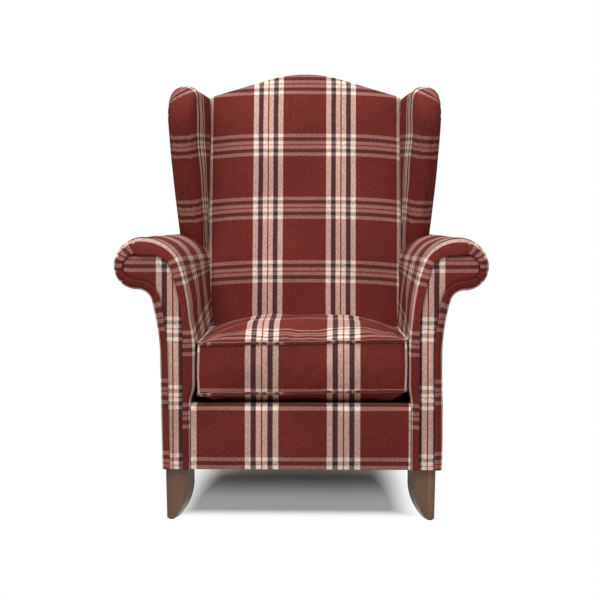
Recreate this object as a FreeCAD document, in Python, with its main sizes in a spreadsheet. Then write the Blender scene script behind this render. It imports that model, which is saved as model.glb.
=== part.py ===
import FreeCAD, Part
import math
import os
import Sketcher

# Fireside chair: a wing armchair on a beech frame, with scroll arms and a loose seat cushion.
# X runs to the right as the chair is seen from its front, Y from the front to the back, Z up.
# The origin is on the floor, midway between the front of the arms and the back of the crest.

doc = FreeCAD.newDocument("FiresideChair")
Vector = FreeCAD.Vector
X_AXIS = Vector(1, 0, 0)
SIDES = (("left", -1), ("right", 1))

# Driving dimensions in millimetres, degrees and counts
DRIVING = (
    ("top_height", 1069, "top of the back's outline, before its edge is rounded"),
    ("overall_width", 865, "across both arm scrolls at the front"),
    ("seat_width", 508, "between the inside arms at the front"),
    ("rear_seat_width", 478, "between the inside arms at the back"),
    ("base_width", 650, "across the outside arms at the front"),
    ("rear_base_width", 644, "across the outside arms at the back"),
    ("base_taper", 5, "each outside arm leans in by this much at its lower edge"),
    ("base_height", 120, "floor to the underside of the frame"),
    ("platform_height", 273, "floor to the deck under the cushion"),
    ("cover_thickness", 2, "cover cloth with its lining"),
    ("fit_gap", 0.3, "gap between pieces that only lie beside each other"),
    ("cushion_width", 488, "across the boxing at its fullest"),
    ("cushion_rear_width", 474, "across the back of the cushion"),
    ("cushion_depth", 515, "front to back of the cushion"),
    ("cushion_boxing", 116, "between the two welts"),
    ("cushion_crown", 45, "rise of the top above its welt"),
    ("cushion_under_crown", 27, "drop of the underside below its welt"),
    ("cushion_crown_run", 190, "distance from the welt to the flat of the crown"),
    ("cushion_corner", 16, "corner radius in plan"),
    ("cushion_bulge", 3, "how far the welts are drawn in from the boxing"),
    ("cushion_setback", 6, "front of the arms to the front of the cushion"),
    ("welt_diameter", 7, "piping in the cushion's seams"),
    ("zip_length", 400, "zip in the rear boxing"),
    ("zip_tape_width", 28, "both tapes together"),
    ("zip_tape_thickness", 1, "woven tape"),
    ("zip_teeth_width", 4.6, "closed chain of teeth"),
    ("zip_teeth_height", 1.6, "closed chain of teeth"),
    ("slider_length", 12, "zip slider along its travel"),
    ("slider_wall", 1.2, "plates of the slider"),
    ("slider_gap", 0.35, "slider to the teeth and the tape"),
    ("back_gap", 10, "cushion to the inside back"),
    ("back_rake", 11.6, "lean of the back from upright"),
    ("back_thickness", 90, "inside back to outside back, at the edge"),
    ("back_width", 502, "inside back between the wings"),
    ("back_crown", 12, "swell of the inside back"),
    ("back_crown_run", 135, "from the rounded edge to the fullest part of the inside back"),
    ("back_roll", 16, "rounding of the back's front edge"),
    ("back_pad_depth", 57.4, "inside back to the webbing"),
    ("hump_radius", 317, "arc at the middle of the crest"),
    ("hump_slope", 17, "slope of the crest beside its arc"),
    ("crest_pad", 20, "padding over the crest rail"),
    ("rail_thickness", 25, "seat rails"),
    ("rail_height", 125, "seat rails"),
    ("rail_setback", 34, "front of the arms to the front rail"),
    ("front_post_width", 50, "arm posts, across"),
    ("front_post_depth", 40, "arm posts, front to back"),
    ("back_post_width", 50, "back posts, across"),
    ("back_post_depth", 28, "back posts, front to back"),
    ("post_offset", 35, "inside back edge to the outer face of the back posts"),
    ("back_rail_height", 40, "lower back rail"),
    ("back_rail_lift", 8, "lower back rail above the deck, along the back"),
    ("crest_rail_height", 80, "crest rail at its ends"),
    ("block_leg", 70, "legs of the triangular corner blocks"),
    ("block_height", 50, "corner blocks"),
    ("block_lift", 30, "corner blocks above the lower edge of the rails"),
    ("arm_pad_thickness", 7, "padding of the inside arm over its frame"),
    ("arm_board_width", 40, "board along the top of each arm"),
    ("arm_board_thickness", 22, "board along the top of each arm"),
    ("arm_board_height", 474, "floor to the underside of the arm board"),
    ("tacking_rail_height", 28, "rail at the foot of each inside arm"),
    ("tacking_rail_width", 18, "rail at the foot of each inside arm"),
    ("scroll_board_thickness", 18, "plywood scroll at the front of each arm"),
    ("arm_height", 654, "top of the scroll at the front"),
    ("rear_arm_height", 647, "top of the scroll at the back"),
    ("rear_scroll_width", 763, "across both scrolls at the back"),
    ("scroll_top_radius", 66, "upper outer curve of the scroll"),
    ("scroll_bottom_radius", 55, "lower outer curve of the scroll"),
    ("shoulder_run", 85, "curve from the inside arm to the top, across, at the front"),
    ("shoulder_drop", 55, "the same curve, in height, at the front"),
    ("shoulder_rise", 160, "gentle curve below the shoulder, in height, at the front"),
    ("rear_shoulder_run", 74.5, "curve from the inside arm to the top, across, at the back"),
    ("rear_shoulder_drop", 60, "the same curve, in height, at the back"),
    ("rear_shoulder_rise", 90, "gentle curve below the shoulder, in height, at the back"),
    ("neck_run", 31, "hollow under the scroll, across"),
    ("neck_drop", 20.5, "hollow under the scroll, in height"),
    ("waist_height", 367, "where the outside arm turns straight"),
    ("arm_roll", 15, "rounding round the front of each arm"),
    ("facing_inset", 22, "edge of the facing from the edge of the arm"),
    ("facing_recess", 6, "facing behind the front of the roll"),
    ("wing_flare", 12, "each wing turns out from straight ahead"),
    ("wing_thickness", 58, "padded wing"),
    ("wing_roll", 18, "rounding of the wing's edges"),
    ("wing_depth", 200, "forward reach of the wing from the inside back"),
    ("wing_corner_radius", 85, "upper front corner of the wing"),
    ("wing_lean", 25, "slope of the wing's front edge"),
    ("wing_top", 745, "top of the wing above the deck, along the back"),
    ("wing_foot", 290, "foot of the wing above the deck, along the back"),
    ("wing_board_start", 20, "inside wing to its board"),
    ("wing_board_thickness", 18, "board in the wing"),
    ("wing_board_inset", 24, "edge of the wing board from the wing's edge"),
    ("border_setback", 8, "front of the arms to the front border"),
    ("border_roll_depth", 75, "front of the arms to the back of the border's roll"),
    ("border_height", 270, "floor to the top of the border's roll"),
    ("border_radius", 17, "rounding of the border's roll"),
    ("spring_count", 5, "serpentine springs side by side"),
    ("spring_wire", 3.8, "wire diameter"),
    ("spring_pitch", 26, "from one run of wire to the next"),
    ("spring_run", 32, "straight part of each run"),
    ("clip_width", 16, "clip on the rail"),
    ("clip_depth", 14, "clip on the rail"),
    ("clip_height", 5.5, "clip on the rail"),
    ("cloth_thickness", 1, "hessian and dust cover"),
    ("strap_width", 50, "back webbing"),
    ("strap_thickness", 1.3, "back webbing"),
    ("strap_count", 3, "webbing straps each way"),
    ("leg_setback", 14, "front of the arms to the front leg"),
    ("leg_outer", 311.5, "chair's middle to the outer edge of a front leg"),
    ("leg_width", 51, "front face of the front leg at its top"),
    ("leg_depth", 50, "front leg, front to back"),
    ("leg_side_slant", 12, "the leg's back is wider than its front by this much"),
    ("leg_knee", 85, "floor to where the leg's curve starts"),
    ("foot_lean", 2.7, "outer edge of the foot from the outer edge of the top"),
    ("foot_width", 19, "front face of the front leg at the floor"),
    ("foot_depth", 30, "foot of the front leg, front to back"),
    ("rear_leg_width", 32, "rear leg, across"),
    ("rear_leg_depth", 50, "rear leg at its top, front to back"),
    ("rear_foot_depth", 26, "rear leg at the floor, front to back"),
    ("rear_leg_sweep", 54, "rear foot behind the top of its leg"),
    ("rear_leg_bend", 260, "radius of the rear leg's curve"),
    ("glide_diameter", 14, "glide under each leg"),
    ("glide_height", 4, "glide under each leg"),
    ("bolt_diameter", 8, "hanger bolt of each leg"),
    ("bolt_in_leg", 40, "length of the bolt in the leg"),
    ("bolt_in_frame", 45, "length of the bolt in the frame"),
)

sheet = doc.addObject("Spreadsheet::Sheet", "Sizes")
for row, (alias, number, meaning) in enumerate(DRIVING, start=1):
    sheet.set(f"A{row}", meaning)
    sheet.set(f"B{row}", str(number))
    sheet.setAlias(f"B{row}", alias)
doc.recompute()


class Measure:
    """A size that knows its number and the sheet's expression for it."""

    def __init__(self, number, text=None):
        self.number = float(number)
        self.text = text or repr(float(number))

    def __float__(self):
        return self.number

    def __neg__(self):
        return Measure(-self.number, f"(-{self.text})")

    def __add__(self, other):
        return Measure(self.number + float(other), f"({self.text} + {text_of(other)})")

    def __radd__(self, other):
        return self + other

    def __sub__(self, other):
        return Measure(self.number - float(other), f"({self.text} - {text_of(other)})")

    def __rsub__(self, other):
        return -self + other

    def __mul__(self, other):
        return Measure(self.number * float(other), f"({self.text} * {text_of(other)})")

    def __rmul__(self, other):
        return self * other

    def __truediv__(self, other):
        return Measure(self.number / float(other), f"({self.text} / {text_of(other)})")


def text_of(value):
    return value.text if isinstance(value, Measure) else repr(float(value))


def size(alias):
    return Measure(sheet.get(alias), f"Sizes.{alias}")


def sine(angle):
    return Measure(math.sin(math.radians(angle.number)), f"sin({angle.text} * 1 deg)")


def cosine(angle):
    return Measure(math.cos(math.radians(angle.number)), f"cos({angle.text} * 1 deg)")


def tangent_radius(across, along):
    """Radius of the arc that leaves along one axis and drifts across by the given amounts."""
    return (across * across + along * along) / (2 * across)


# Sizes that several pieces share
cover = size("cover_thickness")
fit_gap = size("fit_gap")
rake_sine = sine(size("back_rake"))
rake_cosine = cosine(size("back_rake"))
half_seat = size("seat_width") / 2
half_back = size("back_width") / 2
platform = size("platform_height")
base = size("base_height")
rail_top = base + size("rail_height")
cushion_back = size("cushion_setback") + size("cushion_depth")
back_line = cushion_back + size("back_gap")
crest_top = (size("top_height") - platform) / rake_cosine
total_depth = back_line + crest_top * rake_sine + size("back_thickness") * rake_cosine
front = -total_depth / 2
rail_front = size("rail_setback")
rail_back = rail_front + size("rail_thickness")
frame_half = half_seat + size("arm_pad_thickness")
post_outer = half_back + size("post_offset")
post_inner = post_outer - size("back_post_width")
side_rail_outer = post_outer + size("rail_thickness")
post_front = size("back_pad_depth") + 2 * size("strap_thickness")
post_back = post_front + size("back_post_depth")
back_rail_back = post_front + size("rail_thickness")
arm_board_top = size("arm_board_height") + size("arm_board_thickness")


# Making and placing objects
def bind(item, prop, measure):
    item.setExpression(prop, measure.text)


def raked_point(x, behind, up):
    """From the back's own frame (across, behind its face, up along it) to the chair's frame."""
    return (x, back_line + behind * rake_cosine + up * rake_sine,
            platform - behind * rake_sine + up * rake_cosine)


def behind_front(point):
    """Y of a point that was measured from the front of the arms."""
    x, y, z = point
    return (x, front + y, z)


def raked_height(height, behind):
    """Position along the back of a level plane at its given distance behind the face."""
    return (height - platform + behind * rake_sine) / rake_cosine


def place(item, point, raked=False):
    if raked:
        item.Placement = FreeCAD.Placement(Vector(), FreeCAD.Rotation(X_AXIS, -1))
        item.setExpression("Placement.Rotation.Angle", f"-{size('back_rake').text} * 1 deg")
    for axis, coordinate in zip("xyz", behind_front(point)):
        item.setExpression(f"Placement.Base.{axis}", text_of(coordinate))


def block(label, low, high, raked=False):
    """A straight board between two corners, in the chair's frame or the back's frame."""
    board = doc.addObject("Part::Box", label)
    for prop, start, end in zip(("Length", "Width", "Height"), low, high):
        board.setExpression(prop, text_of(end - start))
    place(board, raked_point(*low) if raked else low, raked)
    return board


def side_span(side, inner, outer):
    return (inner, outer) if side > 0 else (-outer, -inner)


def side_block(label, side, across, along, up, raked=False):
    inner, outer = side_span(side, *across)
    return block(label, (inner, along[0], up[0]), (outer, along[1], up[1]), raked)


def drill(label, board, centre, diameter, depth):
    """The board with an upright bore from the given centre."""
    bore = doc.addObject("Part::Cylinder", f"{label}_bore")
    bind(bore, "Radius", diameter / 2)
    bind(bore, "Height", depth)
    place(bore, centre)
    cut = doc.addObject("Part::Cut", label)
    cut.Base = board
    cut.Tool = bore
    return cut


def soft(label, shape):
    """A shaped piece whose outline comes from the sheet's sizes, measured from the arms' front."""
    feature = doc.addObject("Part::Feature", label)
    feature.Shape = shape
    feature.Placement = FreeCAD.Placement()
    bind(feature, "Placement.Base.y", front)
    return feature


# Sketches and bodies
def arc_middle(start, end, radius):
    """Middle and centre of the minor arc; it turns left when the radius is positive."""
    chord = end - start
    left = Vector(-chord.y, chord.x, 0).normalize()
    reach = math.sqrt(max(radius * radius - chord.Length ** 2 / 4, 0))
    centre = (start + end) * 0.5 + left * math.copysign(reach, radius)
    return centre - left * radius, centre


def draw(sketch, corners, radii):
    """Closed outline; radii maps the number of an edge to its arc's radius."""
    points = [Vector(float(h), float(v), 0) for h, v in corners]
    count = len(points)
    ends = []
    for index, start in enumerate(points):
        end = points[(index + 1) % count]
        if index not in radii:
            sketch.addGeometry(Part.LineSegment(start, end), False)
            ends.append((1, 2))
            continue
        radius = float(radii[index])
        centre = arc_middle(start, end, radius)[1]
        angles = [math.atan2(point.y - centre.y, point.x - centre.x) for point in (start, end)]
        turns_left = radius > 0
        circle = Part.Circle(centre, Vector(0, 0, 1), abs(radius))
        sketch.addGeometry(Part.ArcOfCircle(circle, *(angles if turns_left else angles[::-1])), False)
        ends.append((1, 2) if turns_left else (2, 1))
    for index in range(count):
        following = (index + 1) % count
        sketch.addConstraint(
            Sketcher.Constraint("Coincident", index, ends[index][1], following, ends[following][0]))
    for index, corner in enumerate(corners):
        for kind, coordinate in zip(("DistanceX", "DistanceY"), corner):
            number = sketch.addConstraint(
                Sketcher.Constraint(kind, -1, 1, index, ends[index][0], float(coordinate)))
            sketch.setExpression(f"Constraints[{number}]", text_of(coordinate))
    for index, radius in radii.items():
        number = sketch.addConstraint(Sketcher.Constraint("Radius", index, abs(float(radius))))
        turned = radius if float(radius) > 0 else -radius
        sketch.setExpression(f"Constraints[{number}]", text_of(turned))


def new_body(label):
    return doc.addObject("PartDesign::Body", label)


def sketch_on(body, name, role, offset, corners, radii=None):
    """A sketch on the body's own plane, moved along the plane's normal by the offset."""
    sketch = body.newObject("Sketcher::SketchObject", name)
    plane = next(item for item in body.Origin.OriginFeatures if item.Role == role)
    sketch.AttachmentSupport = [(plane, "")]
    sketch.MapMode = "FlatFace"
    sketch.setExpression("AttachmentOffset.Base.z", text_of(offset))
    draw(sketch, corners, radii or {})
    return sketch


def pad(body, name, sketch, length):
    feature = body.newObject("PartDesign::Pad", name)
    feature.Profile = sketch
    bind(feature, "Length", length)
    return feature


def bore_down(body, name, height, centre, diameter, depth):
    """An upright bore that goes down from a level plane of the body."""
    sketch = body.newObject("Sketcher::SketchObject", f"{name}_sketch")
    plane = next(item for item in body.Origin.OriginFeatures if item.Role == "XY_Plane")
    sketch.AttachmentSupport = [(plane, "")]
    sketch.MapMode = "FlatFace"
    bind(sketch, "AttachmentOffset.Base.z", height)
    circle = Part.Circle(Vector(*(float(value) for value in centre), 0), Vector(0, 0, 1),
                         float(diameter) / 2)
    sketch.addGeometry(circle, False)
    for kind, coordinate in zip(("DistanceX", "DistanceY"), centre):
        number = sketch.addConstraint(Sketcher.Constraint(kind, -1, 1, 0, 3, float(coordinate)))
        sketch.setExpression(f"Constraints[{number}]", text_of(coordinate))
    number = sketch.addConstraint(Sketcher.Constraint("Radius", 0, float(diameter) / 2))
    sketch.setExpression(f"Constraints[{number}]", text_of(diameter / 2))
    pocket = body.newObject("PartDesign::Pocket", name)
    pocket.Profile = sketch
    bind(pocket, "Length", depth)
    return pocket


# Wires and lofts of the upholstery
def wire_of(corners, radii, to_point):
    """Closed wire through plane corners; to_point sets them in space."""
    points = [Vector(float(h), float(v), 0) for h, v in corners]
    edges = []
    for index, start in enumerate(points):
        end = points[(index + 1) % len(points)]
        first = to_point(start.x, start.y)
        last = to_point(end.x, end.y)
        if index in radii:
            middle = arc_middle(start, end, float(radii[index]))[0]
            edges.append(Part.Arc(first, to_point(middle.x, middle.y), last).toShape())
        else:
            edges.append(Part.LineSegment(first, last).toShape())
    return Part.Wire(edges)


def loft(wires):
    return Part.makeLoft(wires, True, True)


def prism(corners, radii, to_point, start, end):
    """Straight solid of one outline, between two distances along its normal."""
    ends = []
    for distance in (start, end):
        def at_distance(h, v, distance=float(distance)):
            return to_point(h, v, distance)
        ends.append(wire_of(corners, radii, at_distance))
    return loft(ends)


ROLL_STEPS = (0, 30, 60, 90)


def roll_levels(radius, skin):
    """Depth and inset of each section round a padded edge, skin deep inside it."""
    levels = []
    for degrees in ROLL_STEPS:
        turn = math.radians(degrees)
        depth = radius - (radius - skin) * math.cos(turn)
        inset = radius - (radius - skin) * math.sin(turn)
        levels.append((depth, inset))
    return levels


def chair_box(low, high):
    """Plain box in the frame that is measured from the arms' front."""
    low, high = (Vector(*(float(value) for value in corner)) for corner in (low, high))
    spans = high - low
    return Part.makeBox(spans.x, spans.y, spans.z, low)


def raked_vector(x, behind, up):
    return Vector(*(float(value) for value in raked_point(x, behind, up)))


def raked_box(low, high):
    """Plain box in the back's own frame."""
    shape = chair_box(low, high)
    shape.Placement = FreeCAD.Placement(
        Vector(0, float(back_line), float(platform)),
        FreeCAD.Rotation(X_AXIS, -float(size("back_rake"))))
    return shape


def mirrored_box(side, low, high, maker=chair_box):
    inner, outer = side_span(side, float(low[0]), float(high[0]))
    return maker((inner, low[1], low[2]), (outer, high[1], high[2]))


FAR = 1200.0


# Beech frame
def seat_frame():
    block("front_seat_rail", (-frame_half, rail_front, base), (frame_half, rail_back, rail_top))
    block("back_seat_rail", (-post_inner, post_front, raked_height(base, post_back)),
          (post_inner, back_rail_back, raked_height(rail_top, post_front)), raked=True)
    rail_foot = size("back_rail_lift")
    block("lower_back_rail", (-post_inner, post_front, rail_foot),
          (post_inner, back_rail_back, rail_foot + size("back_rail_height")), raked=True)
    for name, side in SIDES:
        across = (post_outer, side_rail_outer)
        along = (rail_front + size("front_post_depth"), back_line + size("rear_leg_depth"))
        rail = side_block(f"side_seat_rail_{name}_board", side, across, along, (base, rail_top))
        x, y = rear_bolt_place(side)
        drill(f"side_seat_rail_{name}", rail, (x, y, base), size("bolt_diameter"), size("bolt_in_frame"))


def front_bolt_place(side):
    return (side * (frame_half + size("front_post_width") / 2), rail_front + size("front_post_depth") / 2)


def rear_bolt_place(side):
    return (side * (post_outer + size("rail_thickness") / 2), back_line + size("rear_leg_depth") / 2)


def corner_blocks():
    for name, side in SIDES:
        for end, corner_x, corner_y, towards in (("front", frame_half, rail_back, 1),
                                                 ("rear", post_outer, rear_block_line(), -1)):
            label = f"corner_block_{end}_{name}"
            body = new_body(label)
            corner = (side * corner_x, corner_y)
            across = (side * (corner_x - size("block_leg")), corner_y)
            along = (side * corner_x, corner_y + towards * size("block_leg"))
            sketch = sketch_on(body, f"{label}_outline", "XY_Plane", base + size("block_lift"),
                               (corner, across, along))
            pad(body, f"{label}_pad", sketch, size("block_height"))
            bind(body, "Placement.Base.y", front)


def post_face_line(height):
    """Y of the raked back posts' front face at a height, measured from the front of the arms."""
    return back_line + post_front * rake_cosine + raked_height(height, post_front) * rake_sine


def rear_block_line():
    """The raked back posts leave a rear block room only up to their lower front edge."""
    return post_face_line(base + size("block_lift")) - fit_gap


def arm_frame():
    for name, side in SIDES:
        across = (frame_half, frame_half + size("front_post_width"))
        post_along = (rail_front, rail_front + size("front_post_depth"))
        post = side_block(f"front_post_{name}_board", side, across, post_along,
                          (base, size("arm_board_height")))
        x, y = front_bolt_place(side)
        drill(f"front_post_{name}", post, (x, y, base), size("bolt_diameter"), size("bolt_in_frame"))
        board_end = post_face_line(size("arm_board_height"))
        board_across = (frame_half, frame_half + size("arm_board_width"))
        side_block(f"arm_board_{name}", side, board_across, (rail_front, board_end),
                   (size("arm_board_height"), arm_board_top))
        rail_across = (frame_half, frame_half + size("tacking_rail_width"))
        rail_along = (post_along[1], post_face_line(platform))
        side_block(f"arm_tacking_rail_{name}", side, rail_across, rail_along,
                   (platform, platform + size("tacking_rail_height")))


def hump_corners(half_width, foot, top, inset):
    """Outline of the humped back, and the radius of its arc, moved in by the inset."""
    slope = size("hump_slope")
    radius = size("hump_radius") - inset
    half = half_width - inset
    arc_half = radius * sine(slope)
    arc_foot = top - inset - radius + radius * cosine(slope)
    edge = arc_foot - (half - arc_half) * sine(slope) / cosine(slope)
    corners = ((-half, foot), (half, foot), (half, edge), (arc_half, arc_foot), (-arc_half, arc_foot),
               (-half, edge))
    return corners, {3: radius}


def back_frame():
    crest_corners, crest_radii = hump_corners(post_inner, 0, crest_top - size("crest_pad"), 0)
    edge = crest_corners[2][1]
    foot = edge - size("crest_rail_height")
    corners = ((-post_inner, foot), (post_inner, foot)) + crest_corners[2:]
    body = new_body("crest_rail")
    sketch = sketch_on(body, "crest_rail_outline", "XZ_Plane", 0, corners, crest_radii)
    pad(body, "crest_rail_pad", sketch, size("rail_thickness"))
    place(body, raked_point(0, back_rail_back, 0), raked=True)
    post_foot = raked_height(base, post_back)
    post_top = hump_corners(post_outer, 0, crest_top - size("crest_pad"), 0)[0][2][1]
    for name, side in SIDES:
        side_block(f"back_post_{name}", side, (post_inner, post_outer), (post_front, post_back),
                   (post_foot, post_top), raked=True)


def back_webbing():
    """Straps across the back frame, one layer up and down and one layer side to side."""
    crest_edge = hump_corners(post_inner, 0, crest_top - size("crest_pad"), 0)[0][2][1]
    crest_foot = crest_edge - size("crest_rail_height")
    count = int(size("strap_count").number)
    width = size("strap_width").number
    thick = size("strap_thickness").number
    face = post_front.number
    rail_foot = size("back_rail_lift").number
    straps = []
    for index in range(count):
        share = (index + 1) / (count + 1)
        middle = (2 * share - 1) * post_inner.number
        straps.append(raked_box((middle - width / 2, face - thick, rail_foot),
                                (middle + width / 2, face, crest_foot.number + width / 2)))
        level = rail_foot + share * (crest_foot.number - rail_foot)
        straps.append(raked_box((-half_back, face - 2 * thick, level - width / 2),
                                (half_back, face - thick, level + width / 2)))
    soft("back_webbing", Part.makeCompound(straps))


# Arms
def arm_corners(is_rear, inset):
    """Section of an arm, from the foot of its inside face over the scroll to its outside face."""
    prefix = "rear_" if is_rear else ""
    inner = size(f"{prefix}seat_width") / 2
    reach = size(f"{prefix}scroll_width" if is_rear else "overall_width") / 2
    outer = size(f"{prefix}base_width") / 2
    height = size(f"{prefix}arm_height")
    run = size(f"{prefix}shoulder_run")
    drop = size(f"{prefix}shoulder_drop")
    rise = size(f"{prefix}shoulder_rise")
    top_radius = size("scroll_top_radius")
    bottom_radius = size("scroll_bottom_radius")
    crown_x = reach - top_radius
    shoulder = (crown_x - run, height - drop)
    scroll_foot = (reach - bottom_radius, height - top_radius - bottom_radius)
    neck = (scroll_foot[0] - size("neck_run"), scroll_foot[1] - size("neck_drop"))
    shoulder_turn = 2 * math.atan2(float(drop), float(run))
    neck_turn = 2 * math.atan2(float(size("neck_drop")), float(size("neck_run")))
    neck_out = (math.sin(neck_turn), -math.cos(neck_turn))
    shoulder_out = (-math.sin(shoulder_turn), math.cos(shoulder_turn))
    lower = base - cover
    corners = (
        (inner + inset, lower),
        (inner + inset, shoulder[1] - rise),
        (shoulder[0] - inset * shoulder_out[0], shoulder[1] - inset * shoulder_out[1]),
        (crown_x, height - inset),
        (reach - inset, height - top_radius),
        (scroll_foot[0], scroll_foot[1] + inset),
        (neck[0] - inset * neck_out[0], neck[1] - inset * neck_out[1]),
        (outer - inset, size("waist_height")),
        (outer - size("base_taper") - inset, lower),
    )
    radii = {
        1: -tangent_radius(corners[2][0] - corners[1][0], corners[2][1] - corners[1][1]),
        2: -(tangent_radius(drop, run) - inset),
        3: -(top_radius - inset),
        4: -(bottom_radius - inset),
        5: tangent_radius(size("neck_drop"), size("neck_run")) + inset,
        6: tangent_radius(corners[6][0] - corners[7][0], corners[6][1] - corners[7][1]),
    }
    return corners, radii


def arm_wire(side, distance, is_rear, inset):
    corners, radii = arm_corners(is_rear, inset)

    def to_point(across, up):
        return Vector(side * across, float(distance), up)
    return wire_of(corners, radii, to_point)


def arm_form(side, skin):
    """The padded arm, skin deep inside its cover, cut at the back by the outside back."""
    rear_end = back_line + crest_top * rake_sine
    wires = [arm_wire(side, depth, False, inset)
             for depth, inset in roll_levels(size("arm_roll").number, skin)]
    wires.append(arm_wire(side, rear_end, True, skin))
    behind = raked_box((-FAR, post_back - skin, -FAR), (FAR, FAR, FAR))
    below = chair_box((-FAR, -FAR, -FAR), (FAR, FAR, base))
    beside_back = mirrored_box(side, (0, 0, -FAR), (half_back + fit_gap, FAR, FAR), raked_box)
    return loft(wires).cut(behind).cut(below).cut(beside_back).cut(post_room(side))


def post_room(side):
    """Room that the raked back post takes from the arm and the wing beside it."""
    return mirrored_box(side, (0, post_front, -FAR), (post_outer, FAR, FAR), raked_box)


def arm_rooms(side):
    """Hollow of the arm for its frame, and the space beside the deck."""
    hollow = mirrored_box(side, (frame_half, rail_front, 0), (FAR, FAR, arm_board_top))
    below_seat = mirrored_box(side, (0, rail_front, 0), (FAR, FAR, platform + fit_gap))
    return hollow, below_seat


def facing_solid(side, inset, start, end):
    corners, radii = arm_corners(False, inset)

    def to_point(across, up, distance):
        return Vector(side * across, distance, up)
    below = chair_box((-FAR, -FAR, -FAR), (FAR, FAR, base))
    return prism(corners, radii, to_point, start, end).cut(below)


def arms():
    facing_back = rail_front - size("scroll_board_thickness")
    for name, side in SIDES:
        outer = arm_form(side, 0)
        inner = arm_form(side, cover.number)
        facing = facing_solid(side, size("facing_inset"), 0, facing_back)
        board = facing_solid(side, size("facing_inset"), facing_back, rail_front)
        hollow, below_seat = arm_rooms(side)
        arm_pad = inner.cut(facing).cut(board).cut(hollow).cut(below_seat)
        shell = outer.cut(inner).cut(facing)
        outside = mirrored_box(side, (frame_half + cover, size("arm_roll"), 0), (FAR, FAR, arm_board_top))
        soft(f"arm_pad_{name}", arm_pad)
        soft(f"outside_arm_cover_{name}", shell.common(outside))
        inside_cover = shell.cut(outside).cut(below_seat)
        soft(f"inside_arm_cover_{name}", inside_cover)
        soft(f"scroll_board_{name}", board)
        recess = chair_box((-FAR, -FAR, -FAR), (FAR, size("facing_recess"), FAR))
        soft(f"arm_facing_{name}", facing.cut(recess))


# Wings
def wing_corners(inset):
    """Side outline of a wing: forward from the inside back, and up along it."""
    lean = size("wing_lean")
    radius = size("wing_corner_radius")
    centre = (size("wing_depth") - radius, size("wing_top") - radius)
    left = radius - inset
    knee = (centre[0] + left * cosine(lean), centre[1] - left * sine(lean))
    foot = size("wing_foot")
    foot_depth = knee[0] - (knee[1] - foot) * sine(lean) / cosine(lean)
    rear = -post_back
    corners = ((rear, foot), (foot_depth, foot), knee, (centre[0], centre[1] + left),
               (rear, centre[1] + left))
    return corners, {2: left}


def wing_point(side, forward, outward, up):
    flare = size("wing_flare")
    x = half_back + fit_gap + forward * sine(flare) + outward * cosine(flare)
    behind = outward * sine(flare) - forward * cosine(flare)
    return raked_vector(side * x, behind, up)


def wing_slab(side, levels):
    wires = []
    for outward, inset in levels:
        corners, radii = wing_corners(inset)

        def to_point(forward, up, outward=outward):
            return wing_point(side, forward, outward, up)
        wires.append(wire_of(corners, radii, to_point))
    return loft(wires)


def wing_form(side, skin, arm):
    levels = roll_levels(size("wing_roll").number, skin)
    thickness = size("wing_thickness").number
    levels += [(thickness - outward, inset) for outward, inset in reversed(levels)]
    slab = wing_slab(side, levels)
    inside_back = mirrored_box(side, (-FAR, -FAR, -FAR), (half_back + fit_gap, FAR, FAR), raked_box)
    behind = raked_box((-FAR, post_back - skin, -FAR), (FAR, FAR, FAR))
    return slab.cut(inside_back).cut(behind).cut(post_room(side)).cut(arm)


def wings():
    for name, side in SIDES:
        arm = arm_form(side, 0)
        outer = wing_form(side, 0, arm)
        inner = wing_form(side, cover.number, arm)
        start = size("wing_board_start").number
        end = start + size("wing_board_thickness").number
        inset = size("wing_board_inset").number
        board = wing_slab(side, ((start, inset), (end, inset))).common(inner)
        shell = outer.cut(inner)
        middle = (start + end) / 2
        outline = ((-FAR, -FAR), (FAR, -FAR), (FAR, FAR), (-FAR, FAR))

        def to_point(forward, up, outward):
            return wing_point(side, forward, outward, up)
        outside = prism(outline, {}, to_point, middle, FAR)
        soft(f"wing_board_{name}", board)
        soft(f"wing_pad_{name}", inner.cut(board))
        soft(f"inside_wing_cover_{name}", shell.cut(outside))
        soft(f"outside_wing_cover_{name}", shell.common(outside))


# Back upholstery
CROWN_SHARES = (0.35, 0.7, 1.0)


def back_wire(half, foot, top, inset, behind):
    corners, radii = hump_corners(half, foot, top, inset)

    def to_point(across, up):
        return raked_vector(across, behind, up)
    return wire_of(corners, radii, to_point)


def back_form(skin):
    """The padded back: a crowned face, a rolled edge and the full depth of the frame."""
    roll = size("back_roll").number
    crown = size("back_crown").number
    levels = [(post_back.number, skin)]
    levels += [(depth, inset) for depth, inset in reversed(roll_levels(roll, skin))]
    flat_inset = levels[-1][1]
    for share in CROWN_SHARES:
        rise = crown * (1 - (1 - share) ** 2)
        levels.append((skin - rise, flat_inset + share * size("back_crown_run").number))
    wires = []
    for behind, inset in levels:
        foot = max(inset - roll, 0) / 2
        wires.append(back_wire(half_back, foot, crest_top, inset, behind))
    return loft(wires)


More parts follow.
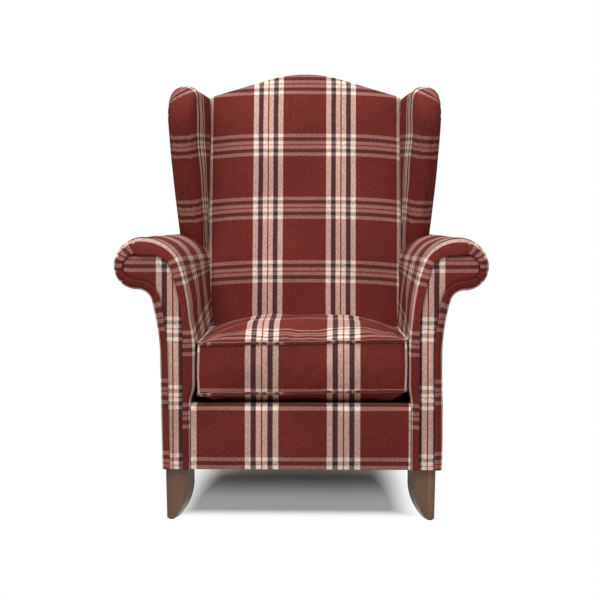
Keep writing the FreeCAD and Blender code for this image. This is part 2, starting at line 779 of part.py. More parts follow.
def back_upholstery():
    outer = back_form(0)
    inner = back_form(cover.number)
    room_corners, room_radii = hump_corners(post_outer, -FAR, crest_top - size("crest_pad"), 0)

    def to_point(across, up, behind):
        return raked_vector(across, behind, up)
    room = prism(room_corners, room_radii, to_point, size("back_pad_depth"), FAR)
    soft("back_pad", inner.cut(room))
    soft("inside_back_cover", outer.cut(inner).cut(room))
    rear_half = size("rear_base_width") / 2 - size("base_taper")
    foot = raked_height(base, size("back_thickness"))
    arm_end = raked_height(size("waist_height"), post_back)
    crest_corners, crest_radii = hump_corners(half_back, foot, crest_top, 0)
    flare = size("wing_flare")
    wing_half = half_back + (size("wing_thickness") - post_back * sine(flare)) / cosine(flare)
    corners = ((-rear_half, foot), (rear_half, foot), (rear_half, arm_end), (wing_half, size("wing_foot")),
               (wing_half, size("wing_top") - size("wing_roll"))) + crest_corners[2:]
    corners += ((-wing_half, size("wing_top") - size("wing_roll")), (-wing_half, size("wing_foot")),
                (-rear_half, arm_end))
    radii = {6: crest_radii[3]}
    soft("outside_back_cover", prism(corners, radii, to_point, post_back, size("back_thickness")))


# Front border and deck
def border_corners(skin):
    """Side section of the front border: its face, its roll and the tail behind the roll."""
    face = size("border_setback") + skin
    top = size("border_height") - skin
    radius = size("border_radius") - skin
    tail = size("border_roll_depth")
    tail_foot = rail_top + size("clip_height") + fit_gap
    seat_end = (rail_front + rail_back) / 2 - size("clip_depth") / 2 - fit_gap
    corners = ((face, base), (face, top - radius), (face + radius, top), (tail - radius, top),
               (tail, top - radius), (tail, tail_foot), (seat_end, tail_foot), (seat_end, rail_top),
               (rail_front, rail_top), (rail_front, base))
    return corners, {1: -radius, 3: -radius}


def seat_side(depth):
    """Half the width between the inside arms at a depth, which narrows towards the back."""
    rear_end = back_line + crest_top * rake_sine
    narrowing = (size("seat_width") - size("rear_seat_width")) / 2
    return half_seat - narrowing * (depth / float(rear_end)) - fit_gap


def border_solid(skin):
    corners, radii = border_corners(skin)

    def to_point(along, up, across):
        return Vector(across, along, up)
    solid = prism(corners, radii, to_point, -half_seat, half_seat)
    for name, side in SIDES:
        plan = ((seat_side(0), 0), (FAR, 0), (FAR, back_line), (seat_side(float(back_line)), back_line))

        def in_plan(across, along, level, side=side):
            return Vector(side * across, along, level)
        solid = solid.cut(prism(plan, {}, in_plan, -FAR, FAR))
    return solid


def front_border():
    """The cloth ends where the roll turns down behind, under the cushion."""
    outer = border_solid(0)
    inner = border_solid(cover)
    turned_down = size("border_roll_depth") - size("border_radius")
    behind = chair_box((-FAR, turned_down, -FAR), (FAR, FAR, FAR))
    cloth = outer.cut(inner).cut(behind)
    soft("front_border_pad", outer.cut(cloth))
    soft("front_border_cover", cloth)


def deck():
    """Hessian over the springs, a felt pad and the platform cloth under the cushion."""
    cloth = size("cloth_thickness")
    half = half_seat - fit_gap
    deck_front = size("border_roll_depth") + fit_gap
    deck_back = back_line - fit_gap
    hessian_foot = rail_top + size("clip_height") + fit_gap
    hessian_top = hessian_foot + cloth
    block("platform_hessian", (-half, deck_front, hessian_foot), (half, deck_back, hessian_top))
    block("deck_pad", (-half, deck_front, hessian_top), (half, deck_back, platform - cloth))
    block("platform_cloth", (-half, deck_front, platform - cloth), (half, deck_back, platform))


def spring_ends():
    """First and last run of wire, over the middle of the front rail and over the back rail."""
    first = (rail_front + rail_back).number / 2
    rail_top_up = raked_height(rail_top, post_front)
    last = (back_line + post_front * rake_cosine + rail_top_up * rake_sine).number
    count = 2 * int((last - first) / size("spring_pitch").number / 2) + 1
    return first, count, (last - first + size("spring_wire").number) / count


def spring_tube():
    """One serpentine spring: straight runs of wire joined by half turns, each in two quarters."""
    first, count, pitch = spring_ends()
    level = (rail_top + size("spring_wire") / 2).number
    half_run = size("spring_run").number / 2
    turn = pitch / 2
    diagonal = math.sqrt(0.5) * turn
    edges = []
    for index in range(count + 1):
        towards = 1 if index % 2 == 0 else -1
        y = first + index * pitch
        end = Vector(towards * half_run, y, level)
        edges.append(Part.LineSegment(Vector(-towards * half_run, y, level), end).toShape())
        if index == count:
            break
        outer = Vector(towards * (half_run + turn), y + turn, level)
        back = Vector(towards * half_run, y + pitch, level)
        lower = Vector(towards * (half_run + diagonal), y + turn - diagonal, level)
        upper = Vector(towards * (half_run + diagonal), y + turn + diagonal, level)
        edges.append(Part.Arc(end, lower, outer).toShape())
        edges.append(Part.Arc(outer, upper, back).toShape())
    path = Part.Wire(edges)
    circle = Part.Circle(edges[0].Vertexes[0].Point, X_AXIS, size("spring_wire").number / 2)
    return path.makePipeShell([Part.Wire([circle.toShape()])], True, False)


def spring_columns():
    count = int(size("spring_count").number)
    return [post_inner.number * (2 * (index + 0.5) / count - 1) for index in range(count)]


def springs():
    tube = spring_tube()
    first, count, pitch = spring_ends()
    tubes = []
    clips = []
    half_channel = size("spring_wire") / 2 + fit_gap / 2
    for x in spring_columns():
        tubes.append(tube.translated(Vector(x, 0, 0)))
        for y in (first, first + count * pitch):
            clip = chair_box((x - size("clip_width") / 2, y - size("clip_depth") / 2, rail_top),
                             (x + size("clip_width") / 2, y + size("clip_depth") / 2,
                              rail_top + size("clip_height")))
            channel = chair_box((x - size("clip_width"), y - half_channel, rail_top - fit_gap),
                                (x + size("clip_width"), y + half_channel, rail_top + 2 * half_channel))
            clips.append(clip.cut(channel))
    soft("seat_springs", Part.makeCompound(tubes))
    soft("spring_clips", Part.makeCompound(clips))


def dust_cover():
    """Cloth under the frame, cut away round the legs."""
    cloth = size("cloth_thickness")
    half = side_rail_outer
    back_edge = back_line + size("rear_leg_depth")
    sheet_solid = chair_box((-half, rail_front, base - cloth), (half, back_edge, base))
    for name, side in SIDES:
        front_room = mirrored_box(
            side, (size("leg_outer") - size("leg_width") - size("leg_side_slant") - fit_gap, 0, 0),
            (FAR, size("leg_setback") + size("leg_depth") + fit_gap, FAR))
        rear_room = mirrored_box(side, (post_outer - fit_gap, back_line - fit_gap, 0), (FAR, FAR, FAR))
        sheet_solid = sheet_solid.cut(front_room).cut(rear_room)
    soft("dust_cover", sheet_solid)


# Legs
def front_leg_corners(side, widening):
    """Front view of a front leg, with its curved inner edge."""
    outer = size("leg_outer")
    inner = outer - size("leg_width") - widening
    foot_outer = outer - size("foot_lean")
    foot_inner = foot_outer - size("foot_width") - widening
    floor = size("glide_height")
    knee = size("leg_knee")
    corners = ((side * outer, base), (side * foot_outer, floor), (side * foot_inner, floor),
               (side * inner, knee), (side * inner, base))
    return corners, {2: -side * tangent_radius(foot_inner - inner, knee - floor)}


def front_legs():
    for name, side in SIDES:
        label = f"front_leg_{name}"
        body = new_body(label)
        near = size("leg_setback")
        far = near + size("leg_depth")
        near_corners, near_radii = front_leg_corners(side, 0)
        far_corners, far_radii = front_leg_corners(side, size("leg_side_slant"))
        near_sketch = sketch_on(body, f"{label}_face", "XZ_Plane", -near, near_corners, near_radii)
        far_sketch = sketch_on(body, f"{label}_rear_face", "XZ_Plane", -far, far_corners, far_radii)
        block_loft = body.newObject("PartDesign::AdditiveLoft", f"{label}_block")
        block_loft.Profile = near_sketch
        block_loft.Sections = [far_sketch]
        block_loft.Ruled = True
        doc.recompute()
        floor = size("glide_height")
        heel = near + size("foot_depth")
        knee = size("leg_knee")
        waste = ((far, knee), (heel, floor), (heel, floor - size("glide_height")),
                 (far + size("leg_depth"), floor - size("glide_height")), (far + size("leg_depth"), knee))
        side_sketch = sketch_on(body, f"{label}_side", "YZ_Plane", 0, waste,
                                {0: -tangent_radius(far - heel, knee - floor)})
        curve = body.newObject("PartDesign::Pocket", f"{label}_curve")
        curve.Profile = side_sketch
        curve.Type = "ThroughAll"
        curve.Midplane = True
        bore_down(body, f"{label}_bore", base, front_bolt_place(side), size("bolt_diameter"),
                  size("bolt_in_leg"))
        bind(body, "Placement.Base.y", front)


def rear_legs():
    for name, side in SIDES:
        label = f"rear_leg_{name}"
        body = new_body(label)
        top_back = back_line + size("rear_leg_depth")
        foot_front = back_line + size("rear_leg_sweep")
        foot_back = foot_front + size("rear_foot_depth")
        floor = size("glide_height")
        corners = ((back_line, base), (foot_front, floor), (foot_back, floor), (top_back, base))
        inner, outer = side_span(side, post_outer, post_outer + size("rear_leg_width"))
        sketch = sketch_on(body, f"{label}_side", "YZ_Plane", inner, corners,
                           {0: size("rear_leg_bend"), 2: -size("rear_leg_bend")})
        pad(body, f"{label}_pad", sketch, outer - inner)
        bore_down(body, f"{label}_bore", base, rear_bolt_place(side), size("bolt_diameter"),
                  size("bolt_in_leg"))
        bind(body, "Placement.Base.y", front)


def leg_hardware():
    glides = []
    bolts = []
    up = Vector(0, 0, 1)
    for name, side in SIDES:
        front_x = side * (size("leg_outer") - size("foot_lean") - size("foot_width") / 2)
        front_y = size("leg_setback") + size("foot_depth") / 2
        rear_x = side * (post_outer + size("rear_leg_width") / 2)
        rear_y = back_line + size("rear_leg_sweep") + size("rear_foot_depth") / 2
        for x, y in ((front_x, front_y), (rear_x, rear_y)):
            glides.append(Part.makeCylinder(size("glide_diameter").number / 2, size("glide_height").number,
                                            Vector(float(x), float(y), 0), up))
        for x, y in (front_bolt_place(side), rear_bolt_place(side)):
            length = size("bolt_in_leg") + size("bolt_in_frame")
            foot = base - size("bolt_in_leg")
            bolts.append(Part.makeCylinder(size("bolt_diameter").number / 2, length.number,
                                           Vector(float(x), float(y), foot.number), up))
    soft("leg_glides", Part.makeCompound(glides))
    soft("leg_bolts", Part.makeCompound(bolts))


# Loose cushion
def cushion_wire(inset, level, skin=0.0, corner_share=0.3):
    """Plan outline of the cushion at one level, with rounded corners."""
    half = size("cushion_width").number / 2 - inset - skin
    rear_half = size("cushion_rear_width").number / 2 - inset - skin
    near = size("cushion_setback").number + inset + skin
    far = cushion_back.number - inset - skin
    radius = size("cushion_corner").number + corner_share * inset
    corners = ((-half + radius, near), (half - radius, near), (half, near + radius),
               (rear_half, far - radius), (rear_half - radius, far), (-rear_half + radius, far),
               (-rear_half, far - radius), (-half, near + radius))

    def to_point(across, along):
        return Vector(across, along, level)
    return wire_of(corners, {1: radius, 3: radius, 5: radius, 7: radius}, to_point)


CROWN_STEPS = (0.0, 0.12, 0.3, 0.55, 0.8)


def crown_share(step):
    """Share of the crown's rise that is reached at a step of the way in from the welt."""
    return (1 - (1 - step) ** 2) / (1 - (1 - CROWN_STEPS[-1]) ** 2)


def welt_levels():
    """Heights of the cushion's two seams."""
    lower_welt = (platform + fit_gap + size("cushion_under_crown")).number
    return lower_welt, lower_welt + size("cushion_boxing").number


def cushion_form(skin):
    """Crowned top and underside over a boxing that the welts draw in."""
    lower_welt, upper_welt = welt_levels()
    drawn = size("cushion_bulge").number
    run = size("cushion_crown_run").number
    sections = []
    for step in reversed(CROWN_STEPS):
        fall = (size("cushion_under_crown").number - skin) * crown_share(step)
        sections.append((drawn + step * run, lower_welt - fall))
    sections.append((0.0, (lower_welt + upper_welt) / 2))
    for step in CROWN_STEPS:
        rise = (size("cushion_crown").number - skin) * crown_share(step)
        sections.append((drawn + step * run, upper_welt + rise))
    return loft([cushion_wire(inset, level, skin) for inset, level in sections])


def welt_round(level):
    """Piping along one of the two seams."""
    radius = size("welt_diameter").number / 2
    reach = size("cushion_bulge").number - radius - fit_gap.number
    path = cushion_wire(reach, level, corner_share=-1.0)
    start = path.Edges[0].Vertexes[0].Point
    circle = Part.Circle(start, X_AXIS, radius)
    return path.makePipeShell([Part.Wire([circle.toShape()])], True, False)


def corner_welt(side):
    """Piping up a front corner of the boxing, from seam to seam."""
    lower_welt, upper_welt = welt_levels()
    radius = size("welt_diameter").number / 2
    corner = size("cushion_corner").number
    half = size("cushion_width").number / 2
    near = size("cushion_setback").number

    def on_corner(inset, level):
        across = half - corner - inset + math.sqrt(0.5) * (corner + radius + fit_gap.number)
        along = near + corner + inset - math.sqrt(0.5) * (corner + radius + fit_gap.number)
        return Vector(side * across, along, level)
    drawn = size("cushion_bulge").number
    start = on_corner(drawn, lower_welt + radius)
    end = on_corner(drawn, upper_welt - radius)
    path = Part.Wire([Part.Arc(start, on_corner(0, (lower_welt + upper_welt) / 2), end).toShape()])
    circle = Part.Circle(start, Vector(0, 0, 1), radius)
    return path.makePipeShell([Part.Wire([circle.toShape()])], True, False)


def cushion():
    lower_welt, upper_welt = welt_levels()
    outer = cushion_form(0.0)
    inner = cushion_form(cover.number)
    soft("cushion_core", inner)
    welts = [welt_round(lower_welt), welt_round(upper_welt)]
    welts += [corner_welt(side) for name, side in SIDES]
    cover_shell = outer.cut(inner)
    soft("cushion_cover", cover_shell.cut(Part.makeCompound(welts)))
    soft("cushion_welts", Part.makeCompound(welts))


def cushion_zip():
    middle = sum(welt_levels()) / 2
    tape_back = cushion_back + size("zip_tape_thickness")
    half_tape = size("zip_tape_width") / 2
    half_length = size("zip_length") / 2
    tape = chair_box((-half_length, cushion_back, middle - half_tape),
                     (half_length, tape_back, middle + half_tape))
    half_teeth = size("zip_teeth_width") / 2
    teeth_back = tape_back + size("zip_teeth_height")
    teeth = chair_box((-half_length, tape_back, middle - half_teeth),
                      (half_length, teeth_back, middle + half_teeth))
    soft("cushion_zip", tape.fuse(teeth))
    gap = size("slider_gap")
    wall = size("slider_wall")
    start = -half_length + wall
    end = start + size("slider_length")
    outer_half = half_teeth + gap + wall
    body = chair_box((start, tape_back + gap, middle - outer_half),
                     (end, teeth_back + gap + wall, middle + outer_half))
    channel = chair_box((start, tape_back, middle - half_teeth - gap),
                        (end, teeth_back + gap, middle + half_teeth + gap))
    soft("zip_slider", body.cut(channel))


seat_frame()
corner_blocks()
arm_frame()
back_frame()
back_webbing()
arms()
wings()
back_upholstery()
front_border()
deck()
springs()
dust_cover()
front_legs()
rear_legs()
leg_hardware()
cushion()
cushion_zip()
doc.recompute()

# Every object is checked, then each sub-part is written under its label
for item in doc.Objects:
    if "Invalid" in item.State or "Error" in item.State:
        raise RuntimeError(f"{item.Label} did not compute")

helpers = {item.Name for cut in doc.Objects if cut.TypeId == "Part::Cut" for item in (cut.Base, cut.Tool)}
KINDS = ("Part::Box", "Part::Cut", "Part::Feature", "PartDesign::Body")
os.makedirs("parts", exist_ok=True)
for item in doc.Objects:
    if item.TypeId not in KINDS or item.Name in helpers:
        continue
    if item.Shape.isNull() or not item.Shape.isValid() or item.Shape.Volume <= 0:
        raise RuntimeError(f"{item.Label} has no sound shape")
    item.Shape.exportStep(f"parts/{item.Label}.step")
    bounds = item.Shape.BoundBox
    print(f"{item.Label:28s} solids {len(item.Shape.Solids)} volume {item.Shape.Volume / 1000:9.1f} "
          f"x {bounds.XMin:7.1f} {bounds.XMax:7.1f} y {bounds.YMin:7.1f} {bounds.YMax:7.1f} "
          f"z {bounds.ZMin:7.1f} {bounds.ZMax:7.1f}")
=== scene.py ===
import math

import bmesh
import bpy
import numpy as np
from mathutils import Euler, Matrix, Vector
from mathutils.kdtree import KDTree


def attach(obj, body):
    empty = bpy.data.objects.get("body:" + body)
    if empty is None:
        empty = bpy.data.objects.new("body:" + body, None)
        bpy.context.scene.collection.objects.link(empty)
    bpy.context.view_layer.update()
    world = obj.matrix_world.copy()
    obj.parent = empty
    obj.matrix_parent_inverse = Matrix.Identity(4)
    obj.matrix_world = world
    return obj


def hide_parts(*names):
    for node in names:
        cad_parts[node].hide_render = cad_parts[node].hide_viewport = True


# Fireside chair: X to the right as seen from the front, Y to the back, Z up, all in metres.

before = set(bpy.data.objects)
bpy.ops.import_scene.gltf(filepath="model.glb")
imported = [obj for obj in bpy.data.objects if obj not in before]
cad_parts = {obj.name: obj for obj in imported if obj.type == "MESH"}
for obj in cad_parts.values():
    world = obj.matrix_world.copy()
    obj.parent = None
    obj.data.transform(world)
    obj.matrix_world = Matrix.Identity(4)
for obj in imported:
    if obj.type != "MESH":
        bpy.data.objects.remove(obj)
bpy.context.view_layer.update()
MM = 0.001

# Sizes of the solids that the upholstery follows
FRONT = -391.28
BACK_LINE = 531.0
PLATFORM = 273.0
RAKE = math.radians(11.6)
HALF_BACK = 251.0
CREST = (1069.0 - PLATFORM) / math.cos(RAKE)
POST_BACK = 88.0
BASE = 120.0

# Cloth: distance from one group of stripes to the next, across and along the warp
WARP_REPEAT = 188.6
WEFT_REPEAT = 166.8
# Height up the back of the middle of one group of weft stripes
BACK_WEFT = 283.7


# Numbers and curves
def smooth(low, high, value):
    share = np.clip((value - low) / (high - low), 0, 1)
    return share * share * (3 - 2 * share)


def blend(start, end, share):
    return start * (1 - share) + end * share


def soft_min(one, other, width):
    """Smaller of two fields, with the crease between them rounded over a width."""
    share = np.clip(0.5 + (other - one) / (2 * width), 0, 1)
    return other * (1 - share) + one * share - width * share * (1 - share)


def ripple(points, wavelength, seed, waves=14):
    """Smooth irregular field of about unit size, the same on every run."""
    random = np.random.default_rng(seed)
    flat = np.asarray(points, float)
    total = np.zeros(flat.shape[:-1])
    for _ in range(waves):
        direction = random.normal(size=flat.shape[-1])
        direction /= np.linalg.norm(direction)
        pace = 2 * math.pi / (wavelength * random.uniform(0.7, 1.5))
        total += np.sin(flat @ direction * pace + random.uniform(0, 2 * math.pi))
    return total / math.sqrt(waves)


def raked(x, behind, up):
    """From the back's own frame to the chair's, in millimetres."""
    x, behind, up = np.broadcast_arrays(np.asarray(x, float), behind, up)
    y = FRONT + BACK_LINE + behind * math.cos(RAKE) + up * math.sin(RAKE)
    z = PLATFORM - behind * math.sin(RAKE) + up * math.cos(RAKE)
    return np.stack([x, y, z], -1)


def edge_bunched(count, power=2.0):
    """Steps from -1 to 1 that crowd towards both ends."""
    t = np.linspace(-1, 1, count)
    return np.sign(t) * (1 - (1 - np.abs(t)) ** power)


def lengths_along(points):
    """Running length of a line of points along the first axis."""
    steps = np.linalg.norm(np.diff(points, axis=0), axis=-1)
    return np.concatenate([np.zeros((1,) + steps.shape[1:]), np.cumsum(steps, axis=0)])


def tangents_of(line, closed=False):
    """Unit tangent at each point of a line."""
    tangent = np.roll(line, -1, 0) - np.roll(line, 1, 0) if closed else np.gradient(line, axis=0)
    return tangent / np.linalg.norm(tangent, axis=1, keepdims=True)


def at_steps(line, steps, at):
    """Points of a line at some of its running lengths."""
    return np.stack([np.interp(steps, at, line[:, k]) for k in range(line.shape[1])], -1)


def filled_between(inner, outer, rows, columns):
    """Grid between two lines, paired by their shares of length."""
    pair = []
    for line in (inner, outer):
        at = lengths_along(line)
        pair.append(at_steps(line, np.linspace(0, at[-1], rows), at)[:, None])
    across = np.linspace(0, 1, columns)[None, :, None]
    return pair[0] * (1 - across) + pair[1] * across


# Meshes from quad grids, with cloth coordinates in metres as their UVs
class Grids:
    def __init__(self):
        self.points, self.cloth, self.faces = [], [], []
        self.count = 0

    def add(self, points, cloth, flip=False):
        rows, columns = points.shape[:2]
        index = self.count + np.arange(rows * columns).reshape(rows, columns)
        corners = [index[:-1, :-1], index[:-1, 1:], index[1:, 1:], index[1:, :-1]]
        quads = np.stack(corners, -1).reshape(-1, 4)
        self.faces.append(quads[:, ::-1] if flip else quads)
        self.points.append(points.reshape(-1, 3))
        self.cloth.append(cloth.reshape(-1, 2))
        self.count += rows * columns

    def block(self, low, high):
        """Six sides of a box between two corners."""
        low, high = np.asarray(low, float), np.asarray(high, float)
        for axis in range(3):
            first, second = [k for k in range(3) if k != axis]
            for end in (low, high):
                points = np.tile(end, (2, 2, 1)).astype(float)
                points[..., axis] = end[axis]
                points[:, 0, first], points[:, 1, first] = low[first], high[first]
                points[0, :, second], points[1, :, second] = low[second], high[second]
                self.add(points, points[..., [first, second]], (end is high) == (axis == 1))

    def make(self, name, material, weld=0.05, levels=0, faceted=False):
        points = np.concatenate(self.points) * MM
        cloth = np.concatenate(self.cloth) * MM
        faces = np.concatenate(self.faces)
        mesh = bpy.data.meshes.new(name)
        mesh.from_pydata(points.tolist(), [], faces.tolist())
        layer = mesh.uv_layers.new(name="cloth")
        corners = np.zeros(len(mesh.loops), int)
        mesh.loops.foreach_get("vertex_index", corners)
        layer.data.foreach_set("uv", cloth[corners].ravel())
        shape = bmesh.new()
        shape.from_mesh(mesh)
        bmesh.ops.remove_doubles(shape, verts=shape.verts, dist=weld * MM)
        bmesh.ops.dissolve_degenerate(shape, edges=shape.edges, dist=0.01 * MM)
        shape.to_mesh(mesh)
        shape.free()
        for face in mesh.polygons:
            face.use_smooth = not faceted
        mesh.materials.append(material)
        piece = bpy.data.objects.new(name, mesh)
        bpy.context.scene.collection.objects.link(piece)
        if levels:
            subdivision = piece.modifiers.new("smooth", "SUBSURF")
            subdivision.levels = subdivision.render_levels = levels
        return piece


def dressed(piece, body, nodes):
    """The piece rides on its body and stands for its solids."""
    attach(piece, body)
    if nodes:
        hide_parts(*nodes)
    return piece


def tube(line, radius, cloth_start, around=10, closed=False):
    """Grid of a round cord along a line of points; its cloth runs along it."""
    tangent = tangents_of(line, closed)
    normal = np.zeros_like(line)
    normal[0] = np.cross(tangent[0], (0.3, 0.2, 1.0))
    normal[0] /= np.linalg.norm(normal[0])
    for index in range(1, len(line)):
        carried = normal[index - 1] - tangent[index] * (normal[index - 1] @ tangent[index])
        normal[index] = carried / np.linalg.norm(carried)
    side = np.cross(tangent, normal)
    turn = np.linspace(0, 2 * math.pi, around + 1)
    ring = normal[:, None] * np.cos(turn)[None, :, None] + side[:, None] * np.sin(turn)[None, :, None]
    points = line[:, None] + ring * radius
    along = lengths_along(line)[:, None] + 0 * turn[None, :]
    across = (turn[None, :] - math.pi) * radius + 0 * along
    cloth = np.stack([cloth_start[0] + across, cloth_start[1] + along], -1)
    if closed:
        points = np.concatenate([points, points[:1]])
        last = cloth[-1:] + np.array([0, np.linalg.norm(line[-1] - line[0])])
        cloth = np.concatenate([cloth, last])
    return points, cloth


# Materials
def new_material(name):
    material = bpy.data.materials.new(name)
    material.use_nodes = True
    tree = material.node_tree
    shader = tree.nodes["Principled BSDF"]
    return material, tree, shader


def node(tree, kind, **values):
    item = tree.nodes.new(kind)
    for key, value in values.items():
        if hasattr(item, key) and not key.startswith("in_"):
            setattr(item, key, value)
    for key, value in values.items():
        if key.startswith("in_"):
            slot = key[3:]
            item.inputs[int(slot) if slot.isdigit() else slot.replace("_", " ")].default_value = value
    return item


def math_node(tree, operation, first, second=None):
    item = tree.nodes.new("ShaderNodeMath")
    item.operation = operation
    for index, value in enumerate((first, second)):
        if value is None:
            continue
        if isinstance(value, (int, float)):
            item.inputs[index].default_value = value
        else:
            tree.links.new(value, item.inputs[index])
    return item.outputs[0]


def mix_colour(tree, share, first, second, mode="MIX"):
    item = tree.nodes.new("ShaderNodeMix")
    item.data_type = "RGBA"
    item.blend_type = mode
    item.clamp_factor = True
    for socket, value in ((item.inputs[0], share), (item.inputs[6], first), (item.inputs[7], second)):
        if isinstance(value, (int, float, tuple)):
            socket.default_value = value
        else:
            tree.links.new(value, socket)
    return item.outputs[2]


def ramp(tree, factor, stops, interpolation="LINEAR"):
    item = tree.nodes.new("ShaderNodeValToRGB")
    item.color_ramp.interpolation = interpolation
    elements = item.color_ramp.elements
    while len(elements) > 1:
        elements.remove(elements[-1])
    elements[0].position, elements[0].color = stops[0]
    for position, colour in stops[1:]:
        element = elements.new(position)
        element.color = colour
    tree.links.new(factor, item.inputs[0])
    return item.outputs[0]


def noise(tree, vector, scale, detail=3.0, roughness=0.5, distortion=0.0):
    item = tree.nodes.new("ShaderNodeTexNoise")
    item.inputs["Scale"].default_value = scale
    item.inputs["Detail"].default_value = detail
    item.inputs["Roughness"].default_value = roughness
    item.inputs["Distortion"].default_value = distortion
    tree.links.new(vector, item.inputs["Vector"])
    return item.outputs[0]


def stretched(tree, vector, scale):
    item = tree.nodes.new("ShaderNodeMapping")
    item.inputs["Scale"].default_value = scale
    tree.links.new(vector, item.inputs["Vector"])
    return item.outputs[0]


def mapped(tree, value, low, high, start, end, easing="LINEAR"):
    """One range of a value turned into another."""
    item = node(tree, "ShaderNodeMapRange", in_1=low, in_2=high, in_3=start, in_4=end)
    item.interpolation_type = easing
    tree.links.new(value, item.inputs[0])
    return item.outputs[0]


def bumped(tree, shader, height, strength, distance):
    bump = node(tree, "ShaderNodeBump", in_Strength=strength, in_Distance=distance)
    tree.links.new(height, bump.inputs["Height"])
    tree.links.new(bump.outputs[0], shader.inputs["Normal"])


def seen_directly(tree):
    """1 for what the camera or a reflection sees."""
    path = node(tree, "ShaderNodeLightPath")
    return math_node(tree, "MAXIMUM", path.outputs["Is Camera Ray"], path.outputs["Is Glossy Ray"])


def shade(red, green, blue):
    return (red / 255, green / 255, blue / 255, 1.0)


# Yarns, as they look side by side in the cloth
GROUND = shade(109, 46, 43)
LIGHT = shade(250, 232, 216)
DARK = shade(62, 48, 56)
RUST = shade(140, 62, 34)
# Fibres blended into the yarns
HEATHER_DARK = shade(52, 34, 48)
HEATHER_WARM = shade(166, 76, 50)
TWILL_PITCH = 0.0021


def stripe_stops(widths, repeat):
    """Colour bands of one repeat, with the group of stripes in its middle."""
    colours = {"L": LIGHT, "D": DARK, "r": RUST}
    total = sum(width for kind, width in widths)
    edge = (repeat - total) / 2
    blur = 0.5
    bands = [("G", edge)] + list(widths) + [("G", edge)]
    stops = []
    at = 0.0
    for kind, width in bands:
        colour = colours.get(kind, GROUND)
        start = at / repeat
        end = (at + width) / repeat
        stops.append((max(start + blur / repeat, 0.0) if at else 0.0, colour))
        stops.append((end - blur / repeat if end < 1 else 1.0, colour))
        at += width
    return stops


WARP_GROUP = (("L", 13.2), ("D", 12.0), ("L", 11.8), ("r", 3.2), ("L", 11.8), ("D", 12.0), ("L", 13.2))
WEFT_GROUP = (("L", 9.2), ("D", 9.6), ("L", 8.8), ("r", 3.2), ("L", 8.8), ("D", 9.6), ("L", 9.2))


def plaid_material(name="plaid_wool"):
    """Checked wool: coarse yarns, light and dark stripes both ways, slubs in the red ground."""
    material, tree, shader = new_material(name)
    links = tree.links
    uv = node(tree, "ShaderNodeUVMap", uv_map="cloth").outputs[0]
    apart = node(tree, "ShaderNodeSeparateXYZ")
    wander = noise(tree, uv, 9.0, 2.0)
    links.new(uv, apart.inputs[0])
    drift = math_node(tree, "MULTIPLY", math_node(tree, "SUBTRACT", wander, 0.5), 0.0022)
    colours = []
    for axis, repeat, group in ((0, WARP_REPEAT, WARP_GROUP), (1, WEFT_REPEAT, WEFT_GROUP)):
        place = math_node(tree, "ADD", apart.outputs[axis], drift)
        turns = math_node(tree, "ADD", math_node(tree, "DIVIDE", place, repeat * MM), 0.5)
        colours.append(ramp(tree, math_node(tree, "FRACT", turns), stripe_stops(group, repeat)))
    # Yarn by yarn: each crossing shows a little more warp or weft
    fine_warp = noise(tree, stretched(tree, uv, (1900.0, 640.0, 1.0)), 1.0, 2.0, 0.6)
    fine_weft = noise(tree, stretched(tree, uv, (640.0, 1900.0, 1.0)), 1.0, 2.0, 0.6)
    grain = math_node(tree, "SUBTRACT", fine_warp, fine_weft)
    share = math_node(tree, "SUBTRACT", 0.335, math_node(tree, "MULTIPLY", grain, 0.42))
    woven = mix_colour(tree, share, colours[0], colours[1])
    # Heather: dark blue and rust fibres in the yarns
    slub_warp = noise(tree, stretched(tree, uv, (620.0, 110.0, 1.0)), 1.0, 3.0, 0.6)
    slub_weft = noise(tree, stretched(tree, uv, (110.0, 620.0, 1.0)), 1.0, 3.0, 0.6)
    slubs = math_node(tree, "MULTIPLY", slub_warp, slub_weft)
    dark_share = mapped(tree, slubs, 0.20, 0.36, 0.0, 0.31)
    heathered = mix_colour(tree, dark_share, woven, HEATHER_DARK, "MULTIPLY")
    mottle = mapped(tree, noise(tree, uv, 260.0, 4.0, 0.6), 0.4, 0.75, 0.0, 0.2)
    warm = mix_colour(tree, mottle, heathered, HEATHER_WARM)
    fade = mapped(tree, noise(tree, uv, 6.0, 2.0), 0.3, 0.7, 0.93, 1.07)
    level = node(tree, "ShaderNodeCombineColor")
    for index in range(3):
        links.new(fade, level.inputs[index])
    toned = mix_colour(tree, 1.0, warm, level.outputs[0], "MULTIPLY")
    gamma = node(tree, "ShaderNodeGamma", in_1=2.2)
    links.new(toned, gamma.inputs[0])
    links.new(gamma.outputs[0], shader.inputs["Base Color"])
    shader.inputs["Roughness"].default_value = 0.9
    shader.inputs["Specular IOR Level"].default_value = 0.12
    # Twill ribs and single yarns
    both_ways = [math_node(tree, "MULTIPLY", apart.outputs[axis], 2 * math.pi / TWILL_PITCH)
                 for axis in (0, 1)]
    rib = math_node(tree, "SINE", math_node(tree, "ADD", *both_ways))
    yarns = math_node(tree, "ADD", fine_warp, fine_weft)
    height = math_node(tree, "ADD", math_node(tree, "MULTIPLY", rib, 0.25), yarns)
    bumped(tree, shader, height, 0.5, 0.0006)
    return material


